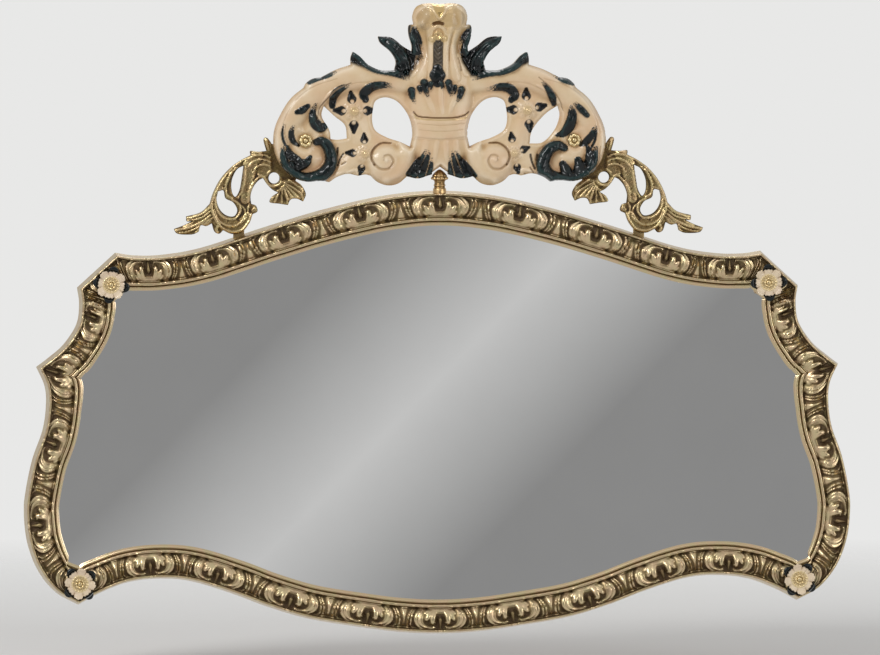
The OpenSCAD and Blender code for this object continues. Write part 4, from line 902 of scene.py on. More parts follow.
# %% The trunk, its gilded top and the flowers' petals
# A thin wash of gold over the whole head, laid on before its leaves
head_gilt_wash_and_painted_shade = [stroke([(-24, z), (0, z + 1), (26, z)], [r, r, r], [0], "soft", "add", paint="gilt",
                    strength=share)
             for z, r, share in ((226, 20, 0.18), (238, 17, 0.32), (246, 15, 0.46),
                                 (252, 14, 0.5))]
# Brown in the middle of both lobes of the head, in shallow cuts: painted shade
head_gilt_wash_and_painted_shade += [stroke([(x, 234), (1.12 * x, 246), (x, 255)], [7, 10, 6], [0.8, 1.6, 0.6], "soft",
                     "cut", paint="umber", strength=0.34) for x in (-22, 23)]
trunk_details = [
    # Flutes of the neck, which spread into the head and the shoulders
    stroke([(-15, 152), (-14, 180), (-15, 205), (-18, 232)], [5, 5, 4.5, 5], [1.8, 2.6, 2.8, 1.2]),
    stroke([(-28, 160), (-24, 182), (-23, 205), (-28, 234)], [7, 6, 4.5, 6], [1.4, 2, 2.2, 1]),
    stroke([(-41, 166), (-34, 178), (-29, 190)], [6, 5, 3], [1.6, 1.8, 1.2]),
    stroke([(7, 152), (7, 180), (8, 205), (13, 228)], [4.5, 5, 4.6, 4.5], [1.8, 2.6, 2.8, 1.4]),
    stroke([(23, 160), (19, 182), (19, 204), (27, 231)], [7, 6, 4.5, 5], [1.4, 2, 2.2, 1]),
    stroke([(38, 166), (31, 178), (27, 192)], [6, 5, 3], [1.6, 1.8, 1.2]),
    incised([(-20, 184), (-19, 206), (-22, 228)], [1.6, 1.8], [0.5], 0.1),
    incised([(12, 184), (13.5, 206), (19, 226)], [1.6, 1.8], [0.5], 0.1),
    incised([(30, 170), (26, 188)], [1.9, 1.3], [1.2], 0.6),
    incised([(-37, 172), (-34, 190)], [1.3, 1.9], [1.2], 0.55),
    incised([(-46, 158), (-42, 170)], [1.7, 1.2], [1.0], 0.5),
    # Dark beaded stem with a bulb
    stroke([(-5, 158), (-5, 166), (-4.5, 176), (-4, 192), (-3.5, 213)], [8, 9, 8, 7.6, 7.6],
           [3, 3.6, 3.4, 3, 2.4], "scales", "over", ribs=12, paint="smoke", strength=0.96),
    teal([(-5, 172), (-5, 163), (-5, 153)], [8, 12.5, 8], [3.5, 5, 3], "round", None),
    # Gilded nodules under a small arch, the slot and the keystone leaf
    stroke([(-14, 220), (-12, 229), (-4, 233.5), (4, 229), (7, 220)], [2.6, 3, 3, 3, 2.6],
           [2.2, 2.8, 3, 2.8, 2.2], paint="gilt", strength=0.35),
    stroke([(-13, 215)], [6], [2.6], "soft", "over", paint="gilt", strength=0.55),
    stroke([(5, 216)], [6], [2.6], "soft", "over", paint="gilt", strength=0.55),
    stroke([(-4, 220)], [7], [3.4], "dish", "over", paint="gilt", strength=0.7),
    incised([(-4, 221)], [2.6], [1.4], 0.6),
    # The slot: a shallow cut painted dark brown, which is painted shade for a dark opening
    incised([(-10.5, 237), (-4, 238.5), (2.5, 237)], [3.0, 3.4, 3.0], [2.6, 3], 0.95),
    stroke([(-36, 232), (-37, 245), (-32, 256), (-22, 261)], [2.4, 3.2, 3.4, 2.2],
           [1.4, 2.2, 2.4, 1.4], "soft", "add", paint="bare", strength=0.5),
    stroke([(37.5, 232), (39.5, 245), (35, 255), (25, 261)], [2.4, 3.2, 3.4, 2.2],
           [1.4, 2.2, 2.4, 1.4], "soft", "add", paint="bare", strength=0.5),
    stroke([(-3, 266), (-2.5, 257), (-2, 249)], [9, 8, 3], [1.2, 1.6, 1.2], "leaf", "over",
           paint="gilt", strength=0.85),
    stroke([(-22, 262), (-12, 258), (-2, 244.5), (8, 258), (17, 262)], [1.8, 2.2, 2.4, 2.2, 1.8],
           [1.6, 2.8, 3.2, 2.8, 1.6], paint="gilt", strength=0.25),
    # Belt with its gilded upper edge
    stroke([(-43, 86), (0, 84), (43, 86)], [16, 16, 16], [1.8, 1.8, 1.8], "flat"),
    incised([(-39, 110), (-33, 104), (-18, 102), (0, 101.5), (20, 102), (34, 105), (41, 110)],
            [1.6, 1.4, 1.6], [1.4], 0.9),
    gilt_line([(-38, 106), (-32, 100.5), (0, 98.5), (33, 100.5), (39, 106)], [1.5], [1.5],
              strength=0.6),
    incised([(-34, 93), (0, 91), (34, 93)], [1.0], [0.7], 0.18),
    incised([(-32, 84), (0, 82), (32, 84)], [1.0], [0.7], 0.15),
    incised([(-36, 74), (0, 71), (36, 74)], [1.1], [0.8], 0.18),
    # Flutes of the skirt below the belt
    stroke([(-6, 66), (-8, 50), (-9, 38)], [4, 4, 2], [1.2, 1.6, 0.6]),
    stroke([(7, 66), (8, 50), (9, 38)], [4, 4, 2], [1.2, 1.6, 0.6]),
    stroke([(-22, 66), (-25, 50), (-30, 38)], [5, 5, 3], [1.2, 1.6, 0.6]),
    stroke([(22, 66), (25, 50), (30, 38)], [5, 5, 3], [1.2, 1.6, 0.6]),
    # Pearly gloss lines of the trunk above the belt
    stroke([(0, 148), (0, 128), (2, 108)], [4, 4, 2], [1.8, 1.8, 0.8]),
    stroke([(-20, 132), (-14, 118), (-10, 108)], [4, 4, 2], [1.2, 1.4, 0.6]),
    stroke([(22, 132), (16, 118), (12, 108)], [4, 4, 2], [1.2, 1.4, 0.6]),
]


def painted_flower(x, z, tips, size, ring):
    """A low flower: cream petals that run into the ground, each tip in a dark cup, and a lightly
    gilded eye."""
    parts = []
    parts.append(stroke([(x, z)], [size * 2.1], [2.4], "soft", "add"))
    for tx, tz in tips:
        out = np.array([tx - x, tz - z]) / math.hypot(tx - x, tz - z)
        across = np.array([-out[1], out[0]])
        spot = np.array([tx, tz])
        for lobe in (out * 1.5, (out + across) * 1.05):
            parts.append(stroke([np.array([x, z]) + lobe * size], [size * 0.8], [1.3], "soft",
                                "add"))
        # a dark cup, pointed outwards, with a cream bead in its mouth
        parts.append(stroke([spot - 0.1 * size * out, spot + 1.15 * size * out],
                            [size * 1.0, size * 0.4], [1.8, 1.0], "soft", "cut", paint="ink"))
        parts.append(stroke([spot - 0.62 * size * out], [size * 0.42], [2.0], "round", "add",
                            paint="bare"))
    for k in range(12):
        way = 0.3 + k * math.pi / 6
        spot = (x + size * 1.25 * math.cos(way), z + size * 1.25 * math.sin(way))
        parts.append(stroke([spot], [1.0], [0.8], "soft", "cut", paint="umber", strength=0.5))
    parts.append(stroke([(x, z)], [size * 0.95], [1.9], "dish", "add", paint="gilt",
                        strength=ring))
    parts.append(stroke([(x, z)], [size * 0.34], [1.5], "round", "add", paint="gilt",
                        strength=ring + 0.15))
    return parts


flower_petals = (
    painted_flower(-125, 111, [(-128, 130), (-144, 112), (-104, 112), (-125, 90)], 7.6, 0.5)
    + painted_flower(-109, 50, [(-110, 71), (-128, 51), (-114, 28)], 6.6, 0.45)
    + painted_flower(126, 112, [(125, 134), (105, 113), (145, 117), (129, 91)], 7.6, 0.5)
    + painted_flower(107, 50, [(104, 72), (122, 56), (112, 29)], 6.4, 0.45)
)

# %% The crest's outline and its relief
crest_f, crest_t = 10.5, 9.0
crest_edge = [
    [[0, 265], [20, 266.5], [34, 261], [39.5, 248], [38, 236]],
    [[38, 236], [45, 234], [45, 220], [41, 206], [41, 197]],
    [[41, 197], [54, 205], [70, 217], [90, 219]],
    [[90, 219], [86, 209], [72, 197], [64, 183], [66, 170]],
    [[66, 170], [85, 170], [104, 178], [116, 190], [126, 197]],
    [[126, 197], [129, 188], [129, 178]],
    [[129, 178], [150, 171], [172, 160]],
    [[172, 160], [184, 158], [193, 152], [197, 145]],
    [[197, 145], [215, 130], [229, 109], [239, 85], [240, 60], [232, 36], [215, 18], [195, 10],
     [172, 11], [160, 9]],
    [[160, 9], [150, 16], [134, 21], [118, 18]],
    [[118, 18], [108, 20], [100, 18]],
    [[100, 18], [90, 9], [75, 4], [60, 7], [48, 17]],
    [[48, 17], [32, 14], [18, 18], [11.5, 20]],
]


def joined(curves, per=6):
    return np.vstack([smooth_line(c, per)[:-1] for c in curves])


half = np.vstack([joined(crest_edge), [[11.5, 20]]])
crest_outline = np.vstack([half, [[11.5, 23], [0, 31], [-11.5, 23]], half[:0:-1] * mirror_x])
right_eye = joined([[[43, 60], [39.5, 80], [45, 104], [60, 124], [78, 131], [93, 126], [97, 112],
                     [98, 97], [93, 83], [76, 73], [58, 67], [43, 60]]])
left_slot = joined([[[-168, 119], [-152, 104], [-137, 91], [-134, 72]],
                    [[-134, 72], [-147, 70], [-158, 71]],
                    [[-158, 71], [-160, 84], [-171, 104], [-168, 119]]])
right_slot = joined([[[171, 119], [174, 104], [167, 84], [150, 66], [130, 64]],
                     [[130, 64], [134, 84], [152, 106], [171, 119]]])
dark_leaves = np.array([[30, 184], [33, 205], [35, 222], [40, 236], [60, 236], [100, 226],
                        [80, 200], [140, 202], [129, 180], [104, 171], [80, 165], [60, 162],
                        [45, 160]])
bolt_spot = np.array([194.5, 69.0])


def crest_shape(points, rim, grid_shape):
    ground = crest_f + crest_t
    roll = np.sqrt(1 - (1 - np.minimum(rim, 6) / 6) ** 2)
    height = ground - 3 + 3 * roll
    paint = {key: np.zeros(len(points)) for key in ("teal", "gilt", "umber", "smoke", "ink",
                                                  "bare")}
    fringe = (within(points, dark_leaves) | within(points * mirror_x, dark_leaves)).astype(float)
    paint["teal"] = blurred(fringe.reshape(grid_shape), 1).ravel()
    flat = height.copy()
    carve(points, height, flat, side_masses + flip(side_masses) + trunk_masses)
    height = blurred(height.reshape(grid_shape), 2).ravel()
    height = np.minimum(height, flat + np.minimum(rim, 14) * 1.6 + 0.5)
    height += 0.9 * np.exp(-((rim - 3.6) / 1.5) ** 2)
    for layer in (head_gilt_wash_and_painted_shade, left_details + right_details, flower_petals, trunk_details):
        carve(points, height, height.copy(), layer, paint)
    edge = flat + np.sqrt(np.maximum(1 - (1 - np.minimum(rim, 5) / 5) ** 2, 0)) * 12 + rim
    height = np.minimum(height, edge)
    for spot in (bolt_spot, bolt_spot * mirror_x):
        away = np.hypot(*(points - spot).T)
        height = np.minimum(height, 20.2 + np.maximum(away - 10.5, 0) * 0.55)
    # The painted leaves were pinched by hand and are lumpy
    x, z = points.T
    lumps = np.sin(0.5 * x + 1.3 * np.sin(0.3 * z)) * np.sin(0.46 * z + 1.2 * np.sin(0.35 * x))
    height += 0.45 * lumps * paint["teal"]
    height = np.minimum(height, 39.4)
    grid = height.reshape(grid_shape)
    # How far each point stands above its surroundings; the glaze turns it into painted shade in the
    # hollows and painted light on the high parts
    relief = np.clip((grid - blurred(grid, 4)) / 1.8, -1.5, 1.5).ravel()
    paint["teal"] = np.maximum(paint["teal"], paint["ink"])
    values = {key: np.clip(paint[key], 0, 1) for key in ("teal", "gilt", "umber", "smoke")}
    values["relief"] = relief
    return height, values


print(len(left_details) + len(right_details) + len(trunk_details), "strokes on the crest")

# %% [markdown]
# Glaze is a thin layer of glass over a coloured body, so it is modelled as a smooth dielectric.
# Four painted attributes choose between cream, teal, gilding and the brown line work. The relief
# attribute makes the glaze paler on high parts and a warm tan in the recesses: partly the glaze
# that runs off the edges and pools in the hollows, partly painted light on the high parts and
# painted shade in the recesses.

# %% Glazed and painted porcelain
def glazed_porcelain(name, cream, shade, pink, gold="#C4A568"):
    material, tree, surface = new_material(name)
    here = add(tree, "ShaderNodeTexCoord").outputs["Object"]
    read = {key: add(tree, "ShaderNodeAttribute", attribute_name=key).outputs["Fac"]
            for key in ("teal", "gilt", "umber", "smoke", "relief")}
    # Cloudy tint of the hand-sprayed cream glaze, in clouds of about 22 mm
    clouds = add(tree, "ShaderNodeTexNoise", {"Vector": here, "Scale": per_mm(22), "Detail": 5.0,
                                              "Roughness": 0.6})
    level = add(tree, "ShaderNodeMath", {0: clouds.outputs["Fac"], 1: 1.4, 2: read["relief"]},
                operation="MULTIPLY_ADD")
    tone = add(tree, "ShaderNodeMapRange", {"Value": level.outputs[0], "From Min": -1.1,
                                            "From Max": 2.1})
    # Painted shade and light: the relief attribute darkens the cream to brown in the recesses and
    # lightens it to pale cream on the high parts, and the clouds vary it at random
    body = add(tree, "ShaderNodeValToRGB", {"Fac": tone.outputs[0]}, stops=[
        (0.0, linear("#7A5636")), (0.2, linear(shade)), (0.48, linear(cream)),
        (1.0, linear("#EBD9BE"))])
    # A second, pinker spray in clouds of about 40 mm
    blush = add(tree, "ShaderNodeTexNoise", {"Vector": here, "Scale": per_mm(40), "Detail": 2.0})
    share = add(tree, "ShaderNodeMapRange", {"Value": blush.outputs["Fac"], "From Min": 0.4,
                                             "From Max": 0.65, "To Max": 0.5})
    body = add(tree, "ShaderNodeMix", {"Factor": share.outputs[0], 6: body.outputs[0],
                                       7: linear(pink)}, data_type="RGBA")
    # Dark teal glaze, darker in the hollows and lighter and greener on the raised parts: partly
    # glaze that pools and runs thin, partly painted shade in the hollows and painted highlights
    # along ridges
    thin = add(tree, "ShaderNodeTexNoise", {"Vector": here, "Scale": per_mm(9), "Detail": 3.0})
    depth = add(tree, "ShaderNodeMath", {0: thin.outputs["Fac"], 1: 1.2, 2: read["relief"]},
                operation="MULTIPLY_ADD")
    deep = add(tree, "ShaderNodeMapRange", {"Value": depth.outputs[0], "From Min": -0.4,
                                            "From Max": 1.9})
    ink = add(tree, "ShaderNodeValToRGB", {"Fac": deep.outputs[0]}, stops=[
        (0.0, linear("#010202")), (0.4, linear("#06090B")), (0.7, linear("#0B1516")),
        (1.0, linear("#1D3131"))])
    # The grey stem paint reads the same value: painted light on its raised scales, painted shade
    # between
    grey = add(tree, "ShaderNodeValToRGB", {"Fac": deep.outputs[0]}, stops=[
        (0.0, linear("#0E0C0A")), (0.45, linear("#302A22")), (0.75, linear("#5A5043")),
        (1.0, linear("#94897A"))])
    colour = body.outputs[2]
    for key, other in (("umber", linear("#5E4020")), ("smoke", grey.outputs[0]),
                       ("teal", ink.outputs[0]), ("gilt", linear(gold))):
        mix = add(tree, "ShaderNodeMix", {"Factor": read[key], 6: colour, 7: other},
                  data_type="RGBA")
        colour = mix.outputs[2]
    tree.links.new(colour, surface.inputs["Base Color"])
    metal = add(tree, "ShaderNodeMapRange", {"Value": read["gilt"], "From Min": 0.35,
                                             "From Max": 0.9, "To Max": 0.8})
    tree.links.new(metal.outputs[0], surface.inputs["Metallic"])
    # Orange-peel ripple of the fired glaze, in waves of about 4 mm
    ripple = add(tree, "ShaderNodeTexNoise", {"Vector": here, "Scale": per_mm(4.0), "Detail": 2.0})
    rough = add(tree, "ShaderNodeMapRange", {"Value": clouds.outputs["Fac"], "To Min": 0.08,
                                             "To Max": 0.3})
    bump = add(tree, "ShaderNodeBump", {"Height": ripple.outputs["Fac"], "Strength": 0.3,
                                        "Distance": 0.3 * MM})
    tree.links.new(rough.outputs[0], surface.inputs["Roughness"])
    tree.links.new(bump.outputs[0], surface.inputs["Normal"])
    # The shine is held back a little, because the studio here is brighter than the photo's
    surface.inputs["IOR"].default_value = 1.5
    surface.inputs["Specular IOR Level"].default_value = 0.32
    return material


crest_glaze = glazed_porcelain("glazed_porcelain_painted", "#D3B993", "#B4936A", "#D6B08C")
relief_plate("crest_relief", crest_outline, [right_eye, right_eye * mirror_x, left_slot,
                                             right_slot], 1.1, crest_shape, crest_f, (0, crest_z),
             node_names=["crest"], body="frame", slot="porcelain", material=crest_glaze)


# %% [markdown]
# ## The openwork brackets
# Each bracket is a thin brass casting: a C-scroll, a pitted column, a shell and a leaf spray,
# with two openings and an eye between them. The left one mirrors the right one. It is the same
# kind of relief plate as the crest, with finer cells because its ribs are only 2 mm wide.

# %% Bracket strokes, outline and openings
bracket_f, bracket_t = 4.5, 5.0
bracket_edge = [
    [[242, 64], [249, 73], [254, 70], [250, 54]],
    [[250, 54], [262, 53], [273, 54], [273, 48]],
    [[273, 48], [288, 40], [303, 29], [317, 13], [327, -6], [332, -22]],
    [[332, -22], [345, -34], [366, -40]],
    [[366, -40], [365, -47], [358, -47]],
    [[358, -47], [370, -53], [384, -58]],
    [[384, -58], [378, -65], [358, -66], [348, -62]],
    [[348, -62], [345, -53], [337, -54], [329, -50]],
    [[329, -50], [325, -62], [318, -65], [313, -60]],
    [[313, -60], [300, -65.5], [286, -63], [275, -50], [270, -37]],
    [[270, -37], [263, -33], [265, -25], [272, -22]],
    [[272, -22], [273, -10], [269, 2], [262, 11], [255, 15]],
    [[255, 15], [249, 6], [241, -2], [233, -6]],
    [[233, -6], [242, -12], [245, -20], [232, -22], [219, -24]],
    [[219, -24], [215, -16], [206, -15], [197, -19]],
    [[197, -19], [193, -8], [199, 4], [208, 11]],
    [[208, 11], [199, 34], [187, 58], [185, 72], [194, 80], [208, 77], [226, 66], [242, 64]],
]
bracket_loop = joined(bracket_edge)
bracket_holes = [
    joined([[[283, 33], [293, 27], [300, 12], [300, -4], [295, -12], [289, -3], [286, 12],
             [283, 33]]]),
    joined([[[320, -4], [312, -3], [309, -14], [298, -20], [292, -31], [297, -40], [309, -38],
             [318, -29], [322, -16], [320, -4]]]),
    np.array([[239 + 8 * math.cos(a), 15 + 8 * math.sin(a)]
              for a in np.linspace(0, 2 * math.pi, 32, endpoint=False)]),
]


def rib(points, w=1.9, h=3.0, kind="round"):
    w, h = w * 1.1, h * 0.55
    return stroke(points, [w * 0.7, w, w, w * 0.7], [h * 0.6, h, h, h * 0.6], kind)


bracket_strokes = [
    # Broad bodies under the ribs
    stroke([(264, 46), (274, 30), (278, 6), (281, -16)], [10, 12, 9, 7], [2.8, 3.6, 3.4, 2.6]),
    stroke([(306, 26), (314, 8), (326, -8), (328, -24), (322, -42), (306, -54), (288, -53),
            (277, -40)], [8, 8, 7, 8, 10, 10, 10, 7], [2.6, 2.8, 2.8, 3.0, 3.2, 3.2, 3.0, 2.4]),
    stroke([(236, 14), (222, 6), (212, -4)], [10, 13, 16], [2.2, 3.0, 3.0]),
    stroke([(332, -38), (346, -46), (364, -54)], [14, 13, 8], [2.8, 3.0, 2.0]),
    stroke([(250, 34), (256, 24)], [12, 10], [2.2, 2.2]),
    # Three rims of the large C-scroll
    rib([(274, 47), (288, 38.5), (302, 27.5), (315, 11.5), (324.5, -7), (329.5, -24),
         (326, -40), (315, -56), (300, -62.5), (286, -60), (276, -48.5), (271.5, -36)], 1.9, 4.4),
    rib([(300, 23), (307, 10), (311, -2)], 1.6, 3.6),
    rib([(294, 30), (303, 20), (308, 6), (308, -8), (300, -14)], 1.8, 4.0),
    rib([(323.5, -12), (323, -26), (317, -37), (306, -43), (295, -43), (288, -33), (290, -22),
         (300, -16)], 1.8, 4.2),
    rib([(326, -30), (320, -45), (308, -53), (294, -53), (284, -43), (281, -31)], 1.5, 3.6),
    rib([(292, -22), (284, -27), (280, -37), (284, -47), (296, -54)], 1.5, 3.4),
    rib([(275, -22), (277, -30), (276, -38)], 1.5, 3.2),
    # Column between the openings
    rib([(283, 37), (281.5, 20), (285, 0), (291, -14)], 1.7, 4.2),
    rib([(258, 19), (265, 13), (272, 3), (276, -8), (276, -20)], 1.7, 3.8),
    # Arch at the top with its ears
    rib([(277, 43), (268, 47.5), (257, 48.5), (247, 46), (240, 43)], 1.6, 3.6),
    rib([(276, 32), (270, 38.5), (261, 42), (252, 41), (242, 38)], 1.4, 3.0),
    rib([(270, 23), (264, 31), (256, 34.5), (246, 33)], 1.3, 2.8),
    rib([(246, 55), (248.5, 63), (250, 70)], 1.9, 2.8),
    rib([(243, 56), (244.5, 64)], 1.4, 2.4),
    rib([(256, 53), (264, 52), (271, 52)], 1.7, 3.2),
    # Ring around the eye, and the shell
    rib([(248.5, 22), (241, 27), (231, 24), (227.5, 15), (232, 6), (241, 3.5), (249, 8),
         (253, 15.5), (262, 20)], 1.9, 4.0),
    rib([(229, 26), (221, 17), (210, 8), (201, 1)], 1.5, 3.2),
    rib([(224, 8), (212, 2), (200, -8), (196.5, -17)], 1.6, 3.4),
    rib([(224, 6), (214, -3), (205, -13)], 1.4, 3.0),
    rib([(225, 4), (218, -6), (212, -15)], 1.4, 3.2),
    rib([(226, 3), (222, -9), (219, -22)], 1.7, 3.8),
    rib([(227, 2), (228, -9), (228, -21)], 1.5, 3.2),
    rib([(228, 2), (234, -10), (238, -20)], 1.6, 3.6),
    rib([(229, 0), (236, -6), (243, -15)], 1.7, 3.6),
    # Leaf spray at the foot
    rib([(331, -26), (342, -35), (354, -39.5), (365, -42.5)], 2.0, 4.0),
    rib([(331, -32), (343, -41), (356, -45)], 1.5, 3.2),
    rib([(331, -38), (344, -48), (362, -56), (381, -60)], 2.0, 4.0),
    rib([(332, -44), (345, -53), (360, -61), (375, -63.5)], 1.5, 3.2),
    rib([(338, -50), (345, -57), (352, -63)], 1.9, 3.6),
    rib([(328, -42), (336, -50)], 1.6, 3.0),
    rib([(318, -51), (322, -57), (321, -63)], 2.4, 3.6),
    rib([(267, -29), (270, -32)], 3.2, 3.6),
    # Cast pits of the column and the scroll
    *[stroke([(x, z)], [1.9], [1.2], "soft", "cut") for x, z in (
        (262, 42), (268, 36), (262, 35), (270, 26), (265, 28), (273, 19), (269, 12), (276, 8),
        (272, 4), (279, -2), (279, -11), (281, -18), (256, 40), (250, 39), (246, 47), (258, 26),
        (307, 18), (312, 3), (306, -47), (291, -46), (281, -41), (300, -55), (327, -20))],
]


def bracket_shape(points, rim, grid_shape):
    points = np.column_stack([np.abs(points[:, 0]), points[:, 1]])
    ground = bracket_f + bracket_t
    edge = np.minimum(rim, 2.4) / 2.4
    height = ground - 2.6 + 2.6 * np.sqrt(1 - (1 - edge) ** 2)
    flat = height.copy()
    carve(points, height, flat, bracket_strokes[:5])
    carve(points, height, height.copy(), bracket_strokes[5:])
    height = np.minimum(height, flat + rim * 2.2 + 0.6)
    # The part behind the crest is plain
    behind = step(246, 240, points[:, 0]) * step(10, 16, points[:, 1])
    behind = np.maximum(behind, step(16, 22, points[:, 1]) * step(236, 232, points[:, 0]))
    height = height * (1 - behind) + np.minimum(height, ground) * behind
    height = np.minimum(height, 14.8)
    grid = height.reshape(grid_shape)
    # Hammered ground between the ribs, in dents of about 3 mm
    x, z = points.T.reshape(2, *grid_shape)
    dents = np.sin(2.1 * x + 1.4 * np.sin(1.1 * z)) * np.sin(2.0 * z + 1.5 * np.sin(1.3 * x))
    grid = grid + 0.4 * dents * step(0.5, 3, grid - bracket_f)
    face = (grid - blurred(grid, 4)) / 1.15 + (grid - 12.4) / 5
    return grid.ravel(), {"relief": np.clip(face, -1.5, 1.5).ravel()}


# %% Both brackets, each with the foot that is screwed to the rail
FOOT_X, FOOT_W, FOOT_T = 290, 16, 3
LAND_F = 8
FOOT_LOW, FOOT_BELOW_CREST = 26.5, 57


def bracket_foot(bm, sign, low, high):
    """A tongue of brass from the bracket down behind the rail, with rounded long edges."""
    made = bmesh.ops.create_cube(bm, size=1.0)["verts"]
    for v in made:
        v.co.x = sign * FOOT_X * MM + v.co.x * FOOT_W * MM
        v.co.y = -(LAND_F - FOOT_T / 2) * MM + v.co.y * FOOT_T * MM
        v.co.z = ((low + high) / 2 + v.co.z * (high - low)) * MM
    long_edges = [e for e in bm.edges if all(v in made for v in e.verts)
                  and abs(e.verts[0].co.z - e.verts[1].co.z) > 0.01]
    bmesh.ops.bevel(bm, geom=long_edges, offset=0.8 * MM, segments=3, affect="EDGES",
                    profile=0.5, material=-1)


for side, sign in (("left", -1), ("right", 1)):
    turn = np.array([sign, 1])
    relief_plate("bracket_" + side + "_cast", bracket_loop * turn,
                 [hole * turn for hole in bracket_holes], 0.85, bracket_shape, bracket_f,
                 (0, crest_z), node_names=["bracket_" + side], body="frame",
                 slot="bracket_brass", material=bracket_brass)
    bm = bmesh.new()
    bracket_foot(bm, sign, FOOT_LOW, crest_z - FOOT_BELOW_CREST)
    finish_piece("bracket_" + side + "_foot", bm, ["bracket_" + side], "frame", "bracket_brass",
                 bracket_brass, crease=40)

# %% [markdown]
# ## Porcelain flowers, gilded bosses and rosettes
# A flower is a thin cupped dish of eight petals over four dark sepals. Its surface is a grid in
# rings and rays: each ring is pushed to the height of the dish and each ray is stretched to the
# petal's edge. The sheet is then extruded backwards to give it the thickness of cast porcelain.


# %% Dishes on rings and rays
def dish(bm, centre, radii, shape, rings, rays, values, turn):
    """A sheet of revolution with a wavy rim, turned about its middle. radii(a) gives the rim,
    shape(r, a) the front and back heights, values(r, a) the painted attributes."""
    a = np.linspace(0, 2 * math.pi, rays + 1)
    share = np.linspace(0, 1, rings + 1)
    r = rings_from + (radii(a)[:, None] - rings_from) * share
    angle = np.repeat(a[:, None], rings + 1, axis=1)
    front, back = shape(r, angle)
    paint = values(r, angle)
    layers = {key: bm.verts.layers.float.get(key) or bm.verts.layers.float.new(key)
              for key in paint}
    sheet = bmesh.ops.create_grid(bm, x_segments=rings, y_segments=rays, size=0.5)["verts"]
    depth = {}
    rows = zip(sheet, r.ravel(), angle.ravel(), front.ravel(), back.ravel(),
               *[paint[key].ravel() for key in paint])
    for v, radius, way, top, under, *rest in rows:
        v.co = ((centre[0] + radius * math.cos(way + turn)) * MM, -top * MM,
                (centre[1] + radius * math.sin(way + turn)) * MM)
        for key, value in zip(paint, rest):
            v[layers[key]] = float(value)
        depth[v] = (top - under) * MM
    faces = list({f for v in sheet for f in v.link_faces})
    grown = bmesh.ops.extrude_face_region(bm, geom=faces)["geom"]
    grown = [v for v in grown if isinstance(v, bmesh.types.BMVert)]
    # Every new point lies on an old one, and moves back by that point's thickness
    spots = {tuple(round(c, 7) for c in v.co): depth[v] for v in sheet if v.is_valid}
    for v in grown:
        v.co.y += spots[tuple(round(c, 7) for c in v.co)]
    bmesh.ops.remove_doubles(bm, verts=sheet + grown, dist=0.004 * MM)


rings_from = 2.7
FLOWER_SEAT = 28


def petal_reach(a):
    """Eight crinkled petals; the four that lie in a hood of the sepals are shorter."""
    lobe = np.abs(np.cos(4 * a))
    crinkle = 0.55 * np.cos(24 * a + 0.6) + 0.3 * np.sin(40 * a)
    return 20.9 - 1.3 * np.cos(4 * a) - 3.0 * (1 - lobe) ** 2 + crinkle * lobe


def petal_heights(r, a):
    front = np.interp(r, [2.7, 6.4, 7.4, 9.4, 11.2, 12.8, 17, 20, 23.5],
                      [7.0, 7.0, 5.6, 6.4, 7.6, 6.9, 7.8, 8.8, 9.6])
    lobe = np.abs(np.cos(4 * a))
    front = front + 1.2 * (lobe - 0.75) * step(11.5, 17, r)
    front = front - 1.1 * np.exp(-(lobe / 0.16) ** 2) * step(12, 16, r)
    front = front + 0.5 * np.cos(16 * a) * np.exp(-((r - 10.2) / 1.4) ** 2)
    front = front - 0.6 * step(17, 20, r) * np.cos(4 * a)
    # fine veins that fan out over the petals
    front = front + 0.22 * np.cos(48 * a + np.sin(3 * a)) * step(12.5, 16, r)
    back = np.interp(r, [2.7, 7, 14, 19, 23.5], [0.9, 1.4, 4.0, 6.2, 7.4])
    return np.minimum(front, 10.6) + FLOWER_SEAT, back + FLOWER_SEAT


def petal_paint_and_painted_light(r, a):
    lobe = np.abs(np.cos(4 * a))
    cup = step(13.6, 11.6, r)
    tip = step(petal_reach(a) - 1.6, petal_reach(a) - 0.5, r)
    # Painted light and shade: the relief value lightens the petal middles and the veins and darkens
    # the creases between the petals and the middle; umber darkens the same creases and the ring
    # round the middle
    return {"gilt": cup * (0.5 + 0.14 * np.cos(16 * a) * step(8.6, 9.6, r)),
            "umber": 0.35 * np.exp(-(lobe / 0.15) ** 2) * step(12, 16, r) + 0.3 * step(8.6, 7.2, r),
            "teal": 0.9 * tip * step(0.2, 0.7, np.cos(4 * a)), "smoke": np.zeros_like(r),
            "relief": ((lobe - 0.7) * 0.8 + 0.35 * np.cos(48 * a + np.sin(3 * a)))
            * step(11, 15, r) + 0.2 - 0.5 * step(8.6, 7.2, r)}


def sepal_reach(a):
    return 13.5 + 13.4 * np.abs(np.cos(2 * a)) ** 1.8


def sepal_heights(r, a):
    """Hoods that curl forward over the tips of four petals."""
    front = np.interp(r, [2.7, 7, 14, 18.8, 21.2, 23.6, 27],
                      [0.8, 1.3, 3.4, 5.2, 8.8, 10.6, 8.8])
    front = front - 3.0 * (1 - np.abs(np.cos(2 * a))) * step(17, 21, r)
    back = np.interp(r, [2.7, 7, 14, 19, 27], [0, 0.4, 2.3, 4.2, 7.2])
    return front + FLOWER_SEAT, np.minimum(back, front - 0.8) + FLOWER_SEAT + 0.05


def sepal_paint_and_highlight(r, a):
    empty = np.zeros_like(r)
    # The relief value lightens the teal on the curled rims of the hoods: a painted highlight
    return {"gilt": empty, "umber": empty, "teal": np.ones_like(r), "smoke": empty,
            "relief": 0.5 * step(21, 23.6, r) - 0.1}


flower_glaze = glazed_porcelain("glazed_porcelain_flowers", "#D6C3A6", "#AE9371", "#D6BCA6",
                                gold="#D2BC7C")


